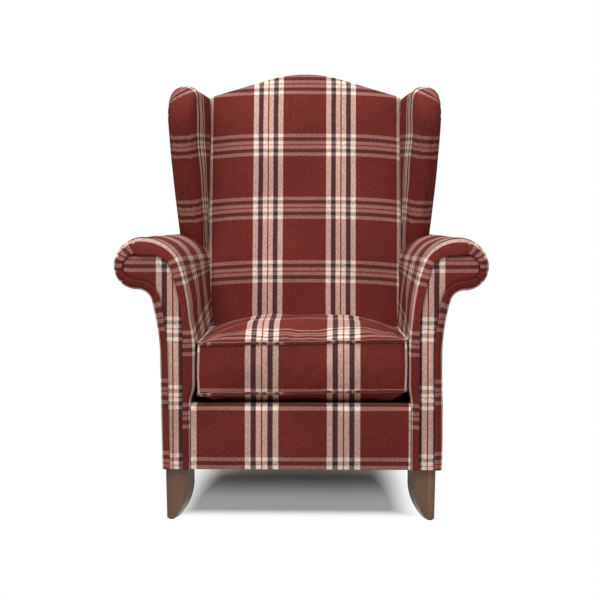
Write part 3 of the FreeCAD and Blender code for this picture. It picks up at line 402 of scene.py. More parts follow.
def woven_material(name, dark, light, pitch, roughness=0.85):
    """Plain weave in two tones, on object coordinates."""
    material, tree, shader = new_material(name)
    links = tree.links
    coordinates = node(tree, "ShaderNodeTexCoord").outputs["Object"]
    apart = node(tree, "ShaderNodeSeparateXYZ")
    links.new(coordinates, apart.inputs[0])
    waves = [math_node(tree, "SINE", math_node(tree, "MULTIPLY", apart.outputs[axis], 2 * math.pi / pitch))
             for axis in (0, 1, 2)]
    weave = math_node(tree, "MULTIPLY", waves[0], waves[1])
    weave = math_node(tree, "ADD", weave, math_node(tree, "MULTIPLY", waves[2], 0.5))
    rough = noise(tree, coordinates, 160.0, 4.0, 0.6)
    share = math_node(tree, "ADD", math_node(tree, "MULTIPLY", weave, 0.22), rough)
    share = math_node(tree, "ADD", math_node(tree, "MULTIPLY", noise(tree, coordinates, 12.0), 0.3), share)
    tone = mix_colour(tree, math_node(tree, "SUBTRACT", share, 0.15), dark, light)
    links.new(tone, shader.inputs["Base Color"])
    shader.inputs["Roughness"].default_value = roughness
    bumped(tree, shader, share, 0.5, 0.0004)
    return material


def wood_material(name, dark, mid, light, along, ring_scale, roughness, coat=0.0):
    """Straight fine grain along one axis, with pores and slow changes of tone."""
    material, tree, shader = new_material(name)
    links = tree.links
    coordinates = node(tree, "ShaderNodeTexCoord").outputs["Object"]
    scale = [ring_scale] * 3
    scale[along] = ring_scale * 0.045
    grain = noise(tree, stretched(tree, coordinates, tuple(scale)), 1.0, 6.0, 0.62, 0.35)
    pore_scale = [ring_scale * 9.0] * 3
    pore_scale[along] = ring_scale * 0.35
    pores = noise(tree, stretched(tree, coordinates, tuple(pore_scale)), 1.0, 3.0, 0.7)
    slow = noise(tree, coordinates, 9.0, 2.0)
    value = math_node(tree, "ADD", math_node(tree, "MULTIPLY", grain, 0.75),
                      math_node(tree, "MULTIPLY", slow, 0.25))
    tone = ramp(tree, value, [(0.32, dark), (0.5, mid), (0.68, light)])
    pore_colour = tuple(0.35 * channel for channel in dark[:3]) + (1.0,)
    colour = mix_colour(tree, mapped(tree, pores, 0.55, 0.75, 0.0, 0.5), tone, pore_colour)
    links.new(colour, shader.inputs["Base Color"])
    links.new(mapped(tree, grain, 0.3, 0.7, roughness - 0.06, roughness + 0.08), shader.inputs["Roughness"])
    shader.inputs["Coat Weight"].default_value = coat
    shader.inputs["Coat Roughness"].default_value = 0.3
    height = math_node(tree, "SUBTRACT", grain, math_node(tree, "MULTIPLY", pores, 0.6))
    bumped(tree, shader, height, 0.25, 0.0005)
    return material


def plain_material(name, dark, light, roughness, metallic=0.0):
    """Metal or plastic with a slightly uneven finish."""
    material, tree, shader = new_material(name)
    links = tree.links
    coordinates = node(tree, "ShaderNodeTexCoord").outputs["Object"]
    uneven = noise(tree, coordinates, 60.0, 5.0, 0.6)
    links.new(mix_colour(tree, uneven, dark, light), shader.inputs["Base Color"])
    links.new(mapped(tree, uneven, 0.3, 0.7, roughness - 0.08, roughness + 0.1), shader.inputs["Roughness"])
    shader.inputs["Metallic"].default_value = metallic
    bumped(tree, shader, uneven, 0.2, 0.0002)
    return material


def linear(red, green, blue):
    """A colour by its usual screen numbers."""
    def channel(value):
        value /= 255
        return value / 12.92 if value <= 0.04045 else ((value + 0.055) / 1.055) ** 2.4
    return (channel(red), channel(green), channel(blue), 1.0)


PLAID = plaid_material()
LEG_WOOD = wood_material("stained_beech", linear(46, 29, 19), linear(90, 58, 39), linear(115, 79, 54),
                         2, 42.0, 0.42, 0.25)
BEECH = {axis: wood_material(f"raw_beech_{axis}", linear(170, 126, 84), linear(202, 160, 114),
                             linear(220, 184, 140), axis, 36.0, 0.62) for axis in (0, 1, 2)}
PLYWOOD = wood_material("birch_plywood", linear(176, 136, 92), linear(208, 172, 126), linear(226, 196, 152),
                        0, 30.0, 0.6)
LINING = woven_material("platform_lining", linear(46, 30, 28), linear(84, 58, 52), 0.0016)
DUST_CLOTH = woven_material("dust_cloth", linear(14, 14, 15), linear(34, 34, 36), 0.0012, 0.8)
WEBBING = woven_material("webbing", linear(70, 60, 48), linear(150, 132, 104), 0.0022)
STEEL = plain_material("spring_steel", linear(88, 88, 92), linear(150, 150, 154), 0.34, 1.0)
PLASTIC = plain_material("glide_plastic", linear(16, 16, 17), linear(34, 34, 35), 0.45)
ZIP_TAPE = woven_material("zip_tape", linear(60, 28, 26), linear(98, 48, 42), 0.0009)
ZIP_TEETH = plain_material("zip_teeth", linear(70, 30, 28), linear(104, 50, 44), 0.4)
ZIP_METAL = plain_material("zip_metal", linear(104, 82, 48), linear(176, 146, 92), 0.32, 1.0)


# Camera at the photograph's place: metres across and up, millimetres in front of the arms, angles
# in radians and the focal length in pixels of the photograph
CAMERA_ACROSS, CAMERA_UP = 0.0751, 0.760
CAMERA_AWAY = 4600
CAMERA_FOCAL, PHOTO_WIDTH, SENSOR_WIDTH = 2010, 600, 36.0
CAMERA_PITCH = 0.05415
CAMERA_YAW = 0.01676
CAMERA_ROLL = -0.002
camera_data = bpy.data.cameras.new("camera")
camera_data.sensor_width = SENSOR_WIDTH
camera_data.lens = SENSOR_WIDTH * CAMERA_FOCAL / PHOTO_WIDTH
camera = bpy.data.objects.new("camera", camera_data)
camera.location = (CAMERA_ACROSS, (FRONT - CAMERA_AWAY) * MM, CAMERA_UP)
turned = Euler((math.radians(90) - CAMERA_PITCH, 0, CAMERA_YAW)).to_matrix()
camera.rotation_euler = (turned @ Matrix.Rotation(-CAMERA_ROLL, 3, "Z")).to_euler()
bpy.context.scene.collection.objects.link(camera)
bpy.context.scene.camera = camera


# Back
HUMP_RADIUS = 317.0
HUMP_SLOPE = math.radians(17.0)


def hump(x):
    """Height of the crest along the back at a distance from its middle."""
    arc_half = HUMP_RADIUS * math.sin(HUMP_SLOPE)
    x = np.abs(x)
    arc = CREST - HUMP_RADIUS + np.sqrt(np.maximum(HUMP_RADIUS ** 2 - np.minimum(x, arc_half) ** 2, 0))
    return arc - np.maximum(x - arc_half, 0) * math.tan(HUMP_SLOPE)


BACK_WARP = 93.0
SEAT_WARP = 98.6
ROLL = 17.0
BACK_CROWN = 13.0


def back_depth(edge):
    """How far behind the back's plane its face lies, by the distance from its edge."""
    rolled = ROLL - np.sqrt(np.maximum(ROLL ** 2 - (ROLL - np.clip(edge, 0, ROLL)) ** 2, 0))
    crown = BACK_CROWN * (1 - (1 - np.clip((edge - 2) / 150.0, 0, 1)) ** 2)
    return rolled - crown


def inside_back():
    across = edge_bunched(121, 1.6) * HALF_BACK
    up_share = np.linspace(0, 1, 150)
    up_share = 1 - (1 - up_share) ** 1.5
    x = across[None, :] + 0 * up_share[:, None]
    top = hump(x)
    foot = -8.0
    up = foot + up_share[:, None] * (top - foot)
    slope_cos = math.cos(math.radians(12))
    edge = soft_min(HALF_BACK - np.abs(x), (top - up) * slope_cos, 14.0)
    edge = np.where(np.minimum(HALF_BACK - np.abs(x), top - up) < 1e-6, 0, np.maximum(edge, 0))
    behind = back_depth(edge)
    spread = np.stack([x, up], -1)
    behind = behind + 1.1 * ripple(spread, 210, 3) * smooth(4, 70, edge)
    seat_press = smooth(330, 60, up) * smooth(40, 130, edge)
    behind = behind + 3.0 * seat_press
    dip = 7.5 * (np.abs(x) / HALF_BACK) ** 3
    pulled = 5.0 * np.sign(x) * smooth(190, 245, np.abs(x))
    lift = 2.5 * smooth(90, 0, top - up)
    cloth = np.stack([x - BACK_WARP + pulled, up - BACK_WEFT + dip + lift], -1)
    grids = Grids()
    grids.add(raked(x, behind, up), cloth)
    # Sides and top, from the roll to the frame's rear face
    depth = np.linspace(ROLL, POST_BACK + 1.0, 10)
    for column, flip in ((0, False), (-1, True)):
        points = np.stack([raked(x[:, column], d, up[:, column]) for d in depth], 1)
        outward = np.sign(x[0, column])
        sides = np.stack([np.stack([cloth[:, column, 0] + outward * (d - ROLL), cloth[:, column, 1]], -1)
                          for d in depth], 1)
        grids.add(points, sides, flip)
    points = np.stack([raked(x[-1], d, up[-1]) for d in depth], 0)
    over = np.stack([np.stack([cloth[-1, :, 0], cloth[-1, :, 1] + d - ROLL], -1) for d in depth], 0)
    grids.add(points, over)
    piece = grids.make("back_upholstery", PLAID)
    return dressed(piece, "chair", ("back_pad", "inside_back_cover"))


inside_back()


# Wings
FLARE = math.radians(8.5)
WING_THICK = 69.5
WING_REAR_THICK = 53.5
WING_TOP = 745.0
WING_DEPTH = 200.0
WING_RADIUS = 85.0
WING_LEAN = math.radians(25.0)
WING_FOOT = 262.0
WING_ROLL = 30.0
WING_RISE = 0.1


def wing_place(side, forward, outward, up):
    x = HALF_BACK + 0.3 + forward * math.sin(FLARE) + outward * math.cos(FLARE)
    behind = np.minimum(outward * math.sin(FLARE) - forward * math.cos(FLARE), POST_BACK)
    return raked(side * x, behind, up)


def wing_outline():
    """Front edge and top of a wing, as forward and up, with outward normals."""
    centre = np.array([WING_DEPTH - WING_RADIUS, WING_TOP - WING_RADIUS])
    knee = centre + WING_RADIUS * np.array([math.cos(WING_LEAN), -math.sin(WING_LEAN)])
    foot = np.array([knee[0] - (knee[1] - WING_FOOT + 60) * math.tan(WING_LEAN), WING_FOOT - 60])
    line = [foot + (knee - foot) * t for t in np.linspace(0, 1, 120)[:-1]]
    line += [centre + WING_RADIUS * np.array([math.cos(a), math.sin(a)])
             for a in np.linspace(-WING_LEAN, math.pi / 2, 120)]
    line += [np.array([centre[0] - t, WING_TOP + WING_RISE * t])
             for t in np.linspace(1, centre[0] + POST_BACK + 40, 120)]
    line = np.array(line)
    tangent = tangents_of(line)
    return line, np.stack([tangent[:, 1], -tangent[:, 0]], -1)


def wing_edge_profile(edge, half):
    """Sideways place of the padded edge, from the face to the middle of its thickness."""
    share = 1 - np.clip(edge / WING_ROLL, 0, 1)
    power = 2.3
    return half * (1 - (1 - share ** power) ** (1 / power))


def wing(side, name):
    line, normals = wing_outline()
    knee_up = WING_TOP - WING_RADIUS - WING_RADIUS * math.sin(WING_LEAN)
    low = np.linspace(WING_FOOT, knee_up, 70)[:-1]
    high = np.linspace(-WING_LEAN, math.pi / 2, 70)
    up = np.concatenate([low, WING_TOP - WING_RADIUS + WING_RADIUS * np.sin(high)])
    knee_forward = WING_DEPTH - WING_RADIUS + WING_RADIUS * math.cos(WING_LEAN)
    above_knee = np.maximum(up - WING_TOP + WING_RADIUS, -WING_RADIUS * math.sin(WING_LEAN))
    rounded = WING_DEPTH - WING_RADIUS + np.sqrt(np.maximum(WING_RADIUS ** 2 - above_knee ** 2, 0))
    reach = np.where(up < knee_up, knee_forward - (knee_up - up) * math.tan(WING_LEAN), rounded)
    share = np.linspace(0, 1, 110)
    share = 1 - (1 - share) ** 1.9
    start = -POST_BACK
    forward = start + share[None, :] * (reach[:, None] - start)
    behind_corner = np.maximum(WING_DEPTH - WING_RADIUS - forward, 0)
    rise = up[:, None] + WING_RISE * behind_corner * smooth(520, WING_TOP, up)[:, None]
    flat = np.stack([forward, rise], -1)
    gap = np.linalg.norm(flat[:, :, None] - line[None, None], axis=-1)
    nearest = gap.argmin(-1)
    edge = gap.min(-1)
    edge[:, -1] = 0
    edge[-1, :] = 0
    closest = line[nearest]
    out = normals[nearest]
    thick = blend(WING_REAR_THICK, WING_THICK, smooth(-60, 150, forward))
    offset = wing_edge_profile(edge, thick / 2)
    crown = 3.5 * smooth(WING_ROLL * 0.6, 90, edge)
    waves = 0.8 * ripple(flat, 120, 11 + int(side)) * smooth(3, 40, edge)
    sample = np.linspace(0, WING_ROLL, 80)
    profile = wing_edge_profile(sample, WING_THICK / 2)
    arc = lengths_along(np.stack([sample, profile], -1))
    around = np.interp(np.clip(edge, 0, WING_ROLL), sample, arc)
    total = arc[-1]
    shift = np.array([WING_WARP[side > 0], -BACK_WEFT])
    # The warp follows the front edge, and the weft stays level, until the upper corner
    within = edge < WING_ROLL
    inner = np.where(within[..., None], closest - out * WING_ROLL, flat)
    lean_back = np.maximum(knee_up - inner[..., 1], 0) * math.tan(WING_LEAN)
    level_rise = math.tan(RAKE) * math.cos(FLARE)
    base_cloth = np.stack([inner[..., 0] + lean_back, inner[..., 1] + inner[..., 0] * level_rise], -1)
    bearing = smooth(-WING_LEAN, math.pi / 2, np.arctan2(out[..., 1], out[..., 0])) * math.pi / 2
    turned = np.stack([np.cos(bearing), np.sin(bearing)], -1)
    wrapped_in = base_cloth + turned * np.where(within, total - around, 0)[..., None]
    wrapped_out = base_cloth + turned * (total + around)[..., None]
    # Gathers where the cloth of the edge turns the upper corner on the outside
    corner = np.arctan2(rise - (WING_TOP - WING_RADIUS), forward - (WING_DEPTH - WING_RADIUS))
    in_corner = smooth(-0.5, 0.0, corner) * smooth(1.75, 1.2, corner) * (forward > 0)
    folds = np.maximum(np.cos(corner * 17.0 + 0.6), 0) ** 3
    gathered = 1.5 * folds * in_corner * smooth(34, 22, edge) * smooth(0, 9, edge)
    grids = Grids()
    crease = 9.0 * smooth(640, 280, rise) * smooth(70, 5, forward)
    grids.add(wing_place(side, forward, offset - crown + waves + crease, rise), wrapped_in + shift, side < 0)
    seam = 26.0
    band = edge <= seam + 6
    outer_offset = thick - offset + crown * 0.6 + waves * 0.5 - gathered
    lip = 1.6 * np.exp(-((edge - seam) / 2.2) ** 2) * smooth(0.1, 0.4, share)[None, :]
    cloth_out = np.where(band[..., None], wrapped_out, flat + np.array([38.0, 0])) + shift
    grids.add(wing_place(side, forward, outer_offset - lip, rise), cloth_out, side > 0)
    # Rear face between the two sides
    rear = np.linspace(0, 1, 8)
    inner = wing_place(side, forward[:, 0], (offset - crown + waves + crease)[:, 0], rise[:, 0])
    outer = wing_place(side, forward[:, 0], (outer_offset - lip)[:, 0], rise[:, 0])
    strip = np.stack([blend(inner, outer, t) for t in rear], 1)
    cloth = np.stack([np.tile(rear * WING_THICK, (len(up), 1)), rise[:, :8]], -1)
    grids.add(strip, cloth, side > 0)
    piece = grids.make(f"wing_{name}", PLAID)
    return dressed(piece, "chair",
                   (f"wing_pad_{name}", f"inside_wing_cover_{name}", f"outside_wing_cover_{name}"))


# Where the groups of stripes fall on each wing, counted from its front edge
WING_WARP = (-112.0, -118.0)
for side, name in ((-1, "left"), (1, "right")):
    wing(side, name)


# Arms
def arc_points(start, end, radius, count):
    """Points of the minor arc between two corners; it turns left when the radius is positive."""
    start, end = np.asarray(start, float), np.asarray(end, float)
    if radius is None:
        return start + (end - start) * np.linspace(0, 1, count)[:, None]
    chord = end - start
    length = np.linalg.norm(chord)
    left = np.array([-chord[1], chord[0]]) / length
    reach = math.sqrt(max(radius ** 2 - length ** 2 / 4, 0))
    centre = (start + end) / 2 + left * math.copysign(reach, radius)
    first = math.atan2(*(start - centre)[::-1])
    last = math.atan2(*(end - centre)[::-1])
    turn = (last - first + math.pi) % (2 * math.pi) - math.pi
    angles = first + turn * np.linspace(0, 1, count)
    return centre + abs(radius) * np.stack([np.cos(angles), np.sin(angles)], -1)


def drift_radius(across, along):
    return (across * across + along * along) / (2 * across)


ARM_SECTIONS = {
    "front": dict(inner=254.0, reach=432.5, outer=325.0, height=654.0, run=85.0, drop=55.0, rise=160.0),
    "rear": dict(inner=239.0, reach=381.5, outer=322.0, height=647.0, run=74.5, drop=60.0, rise=90.0),
}
TOP_RADIUS, BOTTOM_RADIUS = 66.0, 55.0
NECK_RUN, NECK_DROP = 31.0, 20.5
WAIST, TAPER = 367.0, 5.0
SECTION_COUNTS = (30, 26, 30, 26, 26, 14, 30, 34)


def arm_section(end):
    """Line of points over an arm, from the foot of its inside to the foot of its outside."""
    s = ARM_SECTIONS[end]
    crown_x = s["reach"] - TOP_RADIUS
    shoulder = (crown_x - s["run"], s["height"] - s["drop"])
    scroll_foot = (s["reach"] - BOTTOM_RADIUS, s["height"] - TOP_RADIUS - BOTTOM_RADIUS)
    neck = (scroll_foot[0] - NECK_RUN, scroll_foot[1] - NECK_DROP)
    low = BASE - 2
    corners = [(s["inner"], low), (s["inner"], shoulder[1] - s["rise"]), shoulder, (crown_x, s["height"]),
               (s["reach"], s["height"] - TOP_RADIUS), scroll_foot, neck, (s["outer"], WAIST),
               (s["outer"] - TAPER, low)]
    radii = [None, -drift_radius(shoulder[0] - s["inner"], s["rise"]), -drift_radius(s["drop"], s["run"]),
             -TOP_RADIUS, -BOTTOM_RADIUS, drift_radius(NECK_DROP, NECK_RUN),
             drift_radius(neck[0] - s["outer"], neck[1] - WAIST), None]
    line = []
    for index, (radius, count) in enumerate(zip(radii, SECTION_COUNTS)):
        part = arc_points(corners[index], corners[index + 1], radius, count + 1)
        line.append(part[:-1] if index < len(radii) - 1 else part)
    return np.concatenate(line)


def normals_of(line):
    """Normals to the left of a line's run."""
    tangent = tangents_of(line)
    return np.stack([-tangent[:, 1], tangent[:, 0]], -1)


def smoothed(line, passes):
    for _ in range(passes):
        line = line.copy()
        line[1:-1] = (line[:-2] + 2 * line[1:-1] + line[2:]) / 4
    return line


NECK_INDEX = sum(SECTION_COUNTS[:6])
SCROLL_INDEX = sum(SECTION_COUNTS[:3])
SHOULDER_INDEX = sum(SECTION_COUNTS[:2])
REAR_END = BACK_LINE + CREST * math.sin(RAKE)
FACING_RECESS = 6.0


def arm(side, name):
    front_line = arm_section("front")
    outer_side = np.arange(len(front_line)) > NECK_INDEX
    front_line[:, 0] += FOOT_SPREAD[side] * smooth(WAIST + 60, BASE + 40, front_line[:, 1]) * outer_side
    rear_line = arm_section("rear")
    out = normals_of(smoothed(front_line, 8))
    path = lengths_along(front_line)
    # The cloth turns over the front further in at the top of the scroll
    neck_path = path[NECK_INDEX]
    shoulder_path = path[SHOULDER_INDEX]
    from_scroll = path - path[SCROLL_INDEX]
    low_down = smooth(neck_path - 20, neck_path + 90, path) \
        + smooth(shoulder_path - 40, shoulder_path - 200, path)
    inset = blend(22.0, LOW_INSET[side], low_down) + 20.0 * np.exp(-((from_scroll + 6) / 62.0) ** 2)
    roll_depth = 19.0 + 12.0 * np.exp(-((from_scroll + 6) / 75.0) ** 2)
    # Depths: from the seam with the facing over the roll to the back
    rows_in, rows_depth = [], []
    for angle in np.linspace(-0.5, math.pi / 2, 22):
        rows_in.append(inset * (1 - math.sin(max(angle, 0))))
        rows_depth.append(roll_depth * (1 - math.cos(angle)) if angle > 0
                          else FACING_RECESS * (angle / -0.5) ** 1.6 + 0 * inset)
    depths = np.linspace(0, 1, 46)[1:] ** 1.1
    roll_end = rows_depth[-1]
    far = 640.0
    for t in depths:
        rows_in.append(0 * inset)
        rows_depth.append(roll_end + (far - roll_end) * t)
    inset_grid = np.array(rows_in)
    depth_grid = np.array(rows_depth)
    share = depth_grid / REAR_END
    base_x = blend(front_line[None, :, 0], rear_line[None, :, 0], share)
    base_z = blend(front_line[None, :, 1], rear_line[None, :, 1], share)
    spread = np.stack([depth_grid, path[None] + 0 * depth_grid], -1)
    puff = 1.2 * ripple(spread, 150, 21 + int(side)) * smooth(5, 60, depth_grid) \
        * smooth(0, 60, path)[None] * smooth(path[-1], path[-1] - 60, path)[None]
    # Pleats round the scroll
    pleats = sum(np.exp(-((from_scroll - at) / 2.6) ** 2) for at in PLEATS)
    pleat_fade = smooth(28, 5, depth_grid)
    valley = -3.2 * pleats[None] * pleat_fade * (inset_grid < inset[None] * 0.98)
    between = 0.9 * smooth(30, 4, depth_grid) * in_scroll(from_scroll)[None] * (1 - pleats[None])
    # The seat cushion presses against the arms, and the seam with the facing stays where it is
    off_seam = 1 - inset_grid / inset[None]
    beside_cushion = off_seam * CUSHION_SIDE[side] * smooth(275, 310, base_z) \
        * smooth(480, 400, base_z) * (path < shoulder_path)[None]
    swell = puff + valley + between + beside_cushion
    x = base_x - inset_grid * out[None, :, 0] + swell * out[None, :, 0]
    z = base_z - inset_grid * out[None, :, 1] + swell * out[None, :, 1]
    y = FRONT + depth_grid - 0.4 * swell * (inset_grid > 0)
    points = np.stack([side * x, y, z], -1)
    # The arm ends on the outside back's plane
    plane_y = FRONT + BACK_LINE + POST_BACK * math.cos(RAKE) + \
        (z - PLATFORM + POST_BACK * math.sin(RAKE)) * math.tan(RAKE)
    points[..., 1] = np.minimum(points[..., 1], plane_y)
    wrap = lengths_along(np.stack([inset_grid, depth_grid], -1))
    seam_to_front = wrap - wrap[21:22]
    # The cloth is stretched round the scroll, so its weft groups lie further apart there
    along = path - shoulder_path + 26.0
    along = np.interp(along, [-600.0, 0.0, TWO_WEFTS_APART, 1400.0],
                      [-600.0, 0.0, 2 * WEFT_REPEAT, 2 * WEFT_REPEAT + 989.0])
    cloth_u = seam_to_front + roll_end[None] - ARM_WARP
    cloth = np.stack([cloth_u, along[None] + 0 * cloth_u], -1)
    grids = Grids()
    main = slice(0, NECK_INDEX + 6)
    band = int(np.argmax(depth_grid[:, -1] > 40.0))
    grids.add(points[:, main], cloth[:, main], side < 0)
    grids.add(points[:band + 1, NECK_INDEX + 5:], cloth[:band + 1, NECK_INDEX + 5:], side < 0)
    piece = grids.make(f"inside_arm_{name}", PLAID)
    dressed(piece, "chair", (f"arm_pad_{name}", f"inside_arm_cover_{name}"))
    # Outside arm: its own panel, plain and tight, with the front band turned over
    rest = slice(NECK_INDEX + 3, None)
    outside = Grids()
    outside_points = points[band - 1:, rest].copy()
    behind = depth_grid[band - 1:, rest] - depth_grid[band - 1, rest][None]
    outside_points[..., 0] += side * (1.5 * smooth(0, 4, behind) - 0.6 * smooth(4, 60, behind) - 0.4)
    cloth_out = np.stack([cloth_u[band - 1:, rest], z[band - 1:, rest] - OUTSIDE_WEFT], -1)
    outside.add(outside_points, cloth_out, side < 0)
    piece = outside.make(f"outside_arm_{name}", PLAID)
    dressed(piece, "chair", (f"outside_arm_cover_{name}",))
    # Facing: a flat panel inside the roll
    seam = np.stack([front_line[:, 0] - inset * out[:, 0], front_line[:, 1] - inset * out[:, 1]], -1)
    facing(side, name, seam)
    rear_cap(side, name, points[-1])


def in_scroll(distance):
    return smooth(-60, -20, distance) * smooth(185, 130, distance)


def facing(side, name, seam):
    """Panel of a closed outline: inner edge paired with outer edge, row by row."""
    top = seam[:, 1].argmax()
    turn_index = int(top) + 22
    inner = seam[:turn_index + 1]
    outer = seam[turn_index:][::-1]
    columns = 15
    across = np.linspace(0, 1, columns)
    flat = filled_between(inner, outer, 150, columns)
    width = np.linalg.norm(flat[:, 0] - flat[:, -1], axis=1)[:, None]
    flat[:, :, 1] = np.maximum(flat[:, :, 1], BASE - 1)
    edge = np.minimum(across, 1 - across)[None] * width
    pillow = 2.2 * (1 - (1 - np.clip(edge / 14.0, 0, 1)) ** 2)
    y = FRONT + FACING_RECESS + 0.6 - pillow
    points = np.stack([side * flat[..., 0], y, flat[..., 1]], -1)
    cloth = np.stack([side * flat[..., 0] - FACING_WARP[side],
                      (flat[..., 1] - FACING_WEFT) * (WEFT_REPEAT / FACING_REPEAT)], -1)
    grids = Grids()
    grids.add(points, cloth, side > 0)
    piece = grids.make(f"facing_{name}", PLAID, levels=1)
    dressed(piece, "chair", (f"arm_facing_{name}",))


def rear_cap(side, name, rim):
    """Panel that closes the rear end of the scroll."""
    top = rim[:, 2].argmax()
    points = filled_between(rim[:top + 1], rim[top:][::-1], 90, 12) + np.array([0, 0.4, 0])
    cloth = points[..., [0, 2]] * np.array([-1, 1])
    grids = Grids()
    grids.add(points, cloth, side < 0)
    piece = grids.make(f"arm_rear_{name}", PLAID)
    dressed(piece, "chair", ())


# Pleats, by their distance along the scroll from its top
PLEATS = (24.0, 50.0, 78.0, 117.0, 146.0)
# By side: how far in the front turns low down, the swell beside the cushion, the foot's spread
LOW_INSET = {-1: 18.0, 1: 18.5}
CUSHION_SIDE = {-1: 10.0, 1: 5.5}
FOOT_SPREAD = {-1: 0.0, 1: 6.5}
# Where the stripes fall on the arms and their facings
ARM_WARP, OUTSIDE_WEFT, TWO_WEFTS_APART = 45.0, 455.0, 411.0
FACING_WARP = {-1: -294.5, 1: 292.0}
FACING_WEFT, FACING_REPEAT = 443.3, 158.0
for side, name in ((-1, "left"), (1, "right")):
    arm(side, name)


# Front border
def front_border():
    half = 253.7
    face, top, radius, tail = 8.0, 270.0, 17.0, 75.0
    corner = [(face, BASE - 1.5)]
    corner += [(face, z) for z in np.linspace(BASE + 4, top - radius - 4, 24)]
    corner += [(face + radius - radius * math.cos(a), top - radius + radius * math.sin(a))
               for a in np.linspace(0, math.pi / 2, 14)]
    corner += [(d, top) for d in np.linspace(face + radius + 5, tail - radius, 6)]
    corner += [(tail - radius + radius * math.sin(a), top - radius + radius * math.cos(a))
               for a in np.linspace(0.1, math.pi / 2, 10)]
    section = np.array(corner)
    x = edge_bunched(131, 1.3) * half
    run = lengths_along(section)
    height = BASE - 1.5 + run
    grid_x = x[None] + 0 * run[:, None]
    spread = np.stack([grid_x, height[:, None] + 0 * grid_x], -1)
    bow = 2.5 * smooth(BASE, 190, height)[:, None] * smooth(0, 60, half - np.abs(x))[None]
    bow = bow * smooth(330, 270, height)[:, None]
    wave = 0.7 * ripple(spread, 130, 5) * smooth(0, 30, half - np.abs(x))[None] \
        * smooth(0, 40, height - BASE)[:, None]
    y = FRONT + section[:, 0][:, None] - bow - wave
    z = section[:, 1][:, None] + 0 * grid_x + 1.5 * smooth(250, 275, section[:, 1])[:, None] \
        * (1 - (np.abs(x) / half) ** 6)[None]
    cloth = np.stack([grid_x - SEAT_WARP, height[:, None] + 0 * grid_x - 117.5], -1)
    grids = Grids()
    grids.add(np.stack([grid_x, y, z], -1), cloth)
    piece = grids.make("front_border", PLAID, levels=1)
    dressed(piece, "chair", ("front_border_pad", "front_border_cover"))


front_border()


# Deck under the cushion
def deck():
    half, near, far = 253.7, 72.0, 530.7
    x = np.linspace(-half, half, 61)
    y = np.linspace(near, far, 51)
    grid_x, grid_y = np.meshgrid(x, y)
    edge = np.minimum(half - np.abs(grid_x), np.minimum(grid_y - near, far - grid_y))
    z = PLATFORM - 0.2 - 5.0 * smooth(18, 0, edge) - 1.5 * smooth(60, 200, edge) \
        + 0.5 * ripple(np.stack([grid_x, grid_y], -1), 90, 8) * smooth(0, 50, edge) - 0.6
    grids = Grids()
    grids.add(np.stack([grid_x, FRONT + grid_y, z], -1), np.stack([grid_x, grid_y], -1))
    piece = grids.make("seat_deck", LINING, levels=1)
    dressed(piece, "chair", ("deck_pad", "platform_cloth", "platform_hessian"))


deck()


# Outside back
def outside_back():
    low = (BASE - PLATFORM + 90 * math.sin(RAKE)) / math.cos(RAKE) + 1
    arm_end = (WAIST - PLATFORM + POST_BACK * math.sin(RAKE)) / math.cos(RAKE)
    wing_half = HALF_BACK + (WING_REAR_THICK - POST_BACK * math.sin(FLARE)) / math.cos(FLARE)
    share = np.linspace(0, 1, 110)
    across = edge_bunched(101, 1.5)
    knots_up = np.array([low, arm_end, 236.0, 266.0, 727.0, CREST])
    knots_half = np.array([317.0, 318.0, 321.0, wing_half, wing_half, wing_half])
    column = np.abs(across)
    side_top = 727.0
    top = np.where(column * wing_half <= HALF_BACK, hump(column * wing_half),
                   blend(hump(HALF_BACK), side_top, smooth(HALF_BACK, wing_half, column * wing_half)))
    up = low + share[:, None] * (top[None] - low)
    half = np.interp(up, knots_up, knots_half)
    x = across[None] * half
    edge = np.minimum((1 - np.abs(across))[None] * half, np.minimum(up - low, top[None] - up))
    behind = 88.9 + 3.9 * (1 - (1 - np.clip(edge / 9.0, 0, 1)) ** 2) \
        + 1.2 * ripple(np.stack([x, up], -1), 260, 31) * smooth(10, 120, edge)
    cloth = np.stack([-x, up - BACK_WEFT], -1)
    grids = Grids()
    grids.add(raked(x, behind, up), cloth, True)
    piece = grids.make("outside_back", PLAID)
    dressed(piece, "chair", ("outside_back_cover",))


outside_back()


# Loose cushion
CUSHION = dict(middle=3.0, half=241.0, rear_half=234.0, near=6.0, far=521.0, corner=17.0)
LOWER_WELT, UPPER_WELT = 297.0, 412.5
CUSHION_LIFT = 38.0


def lean(x, y):
    """The filled cushion stands a little higher on its right, most at the front."""
    return 5.0 * x / CUSHION["half"] * smooth(CUSHION["far"], CUSHION["near"], y)


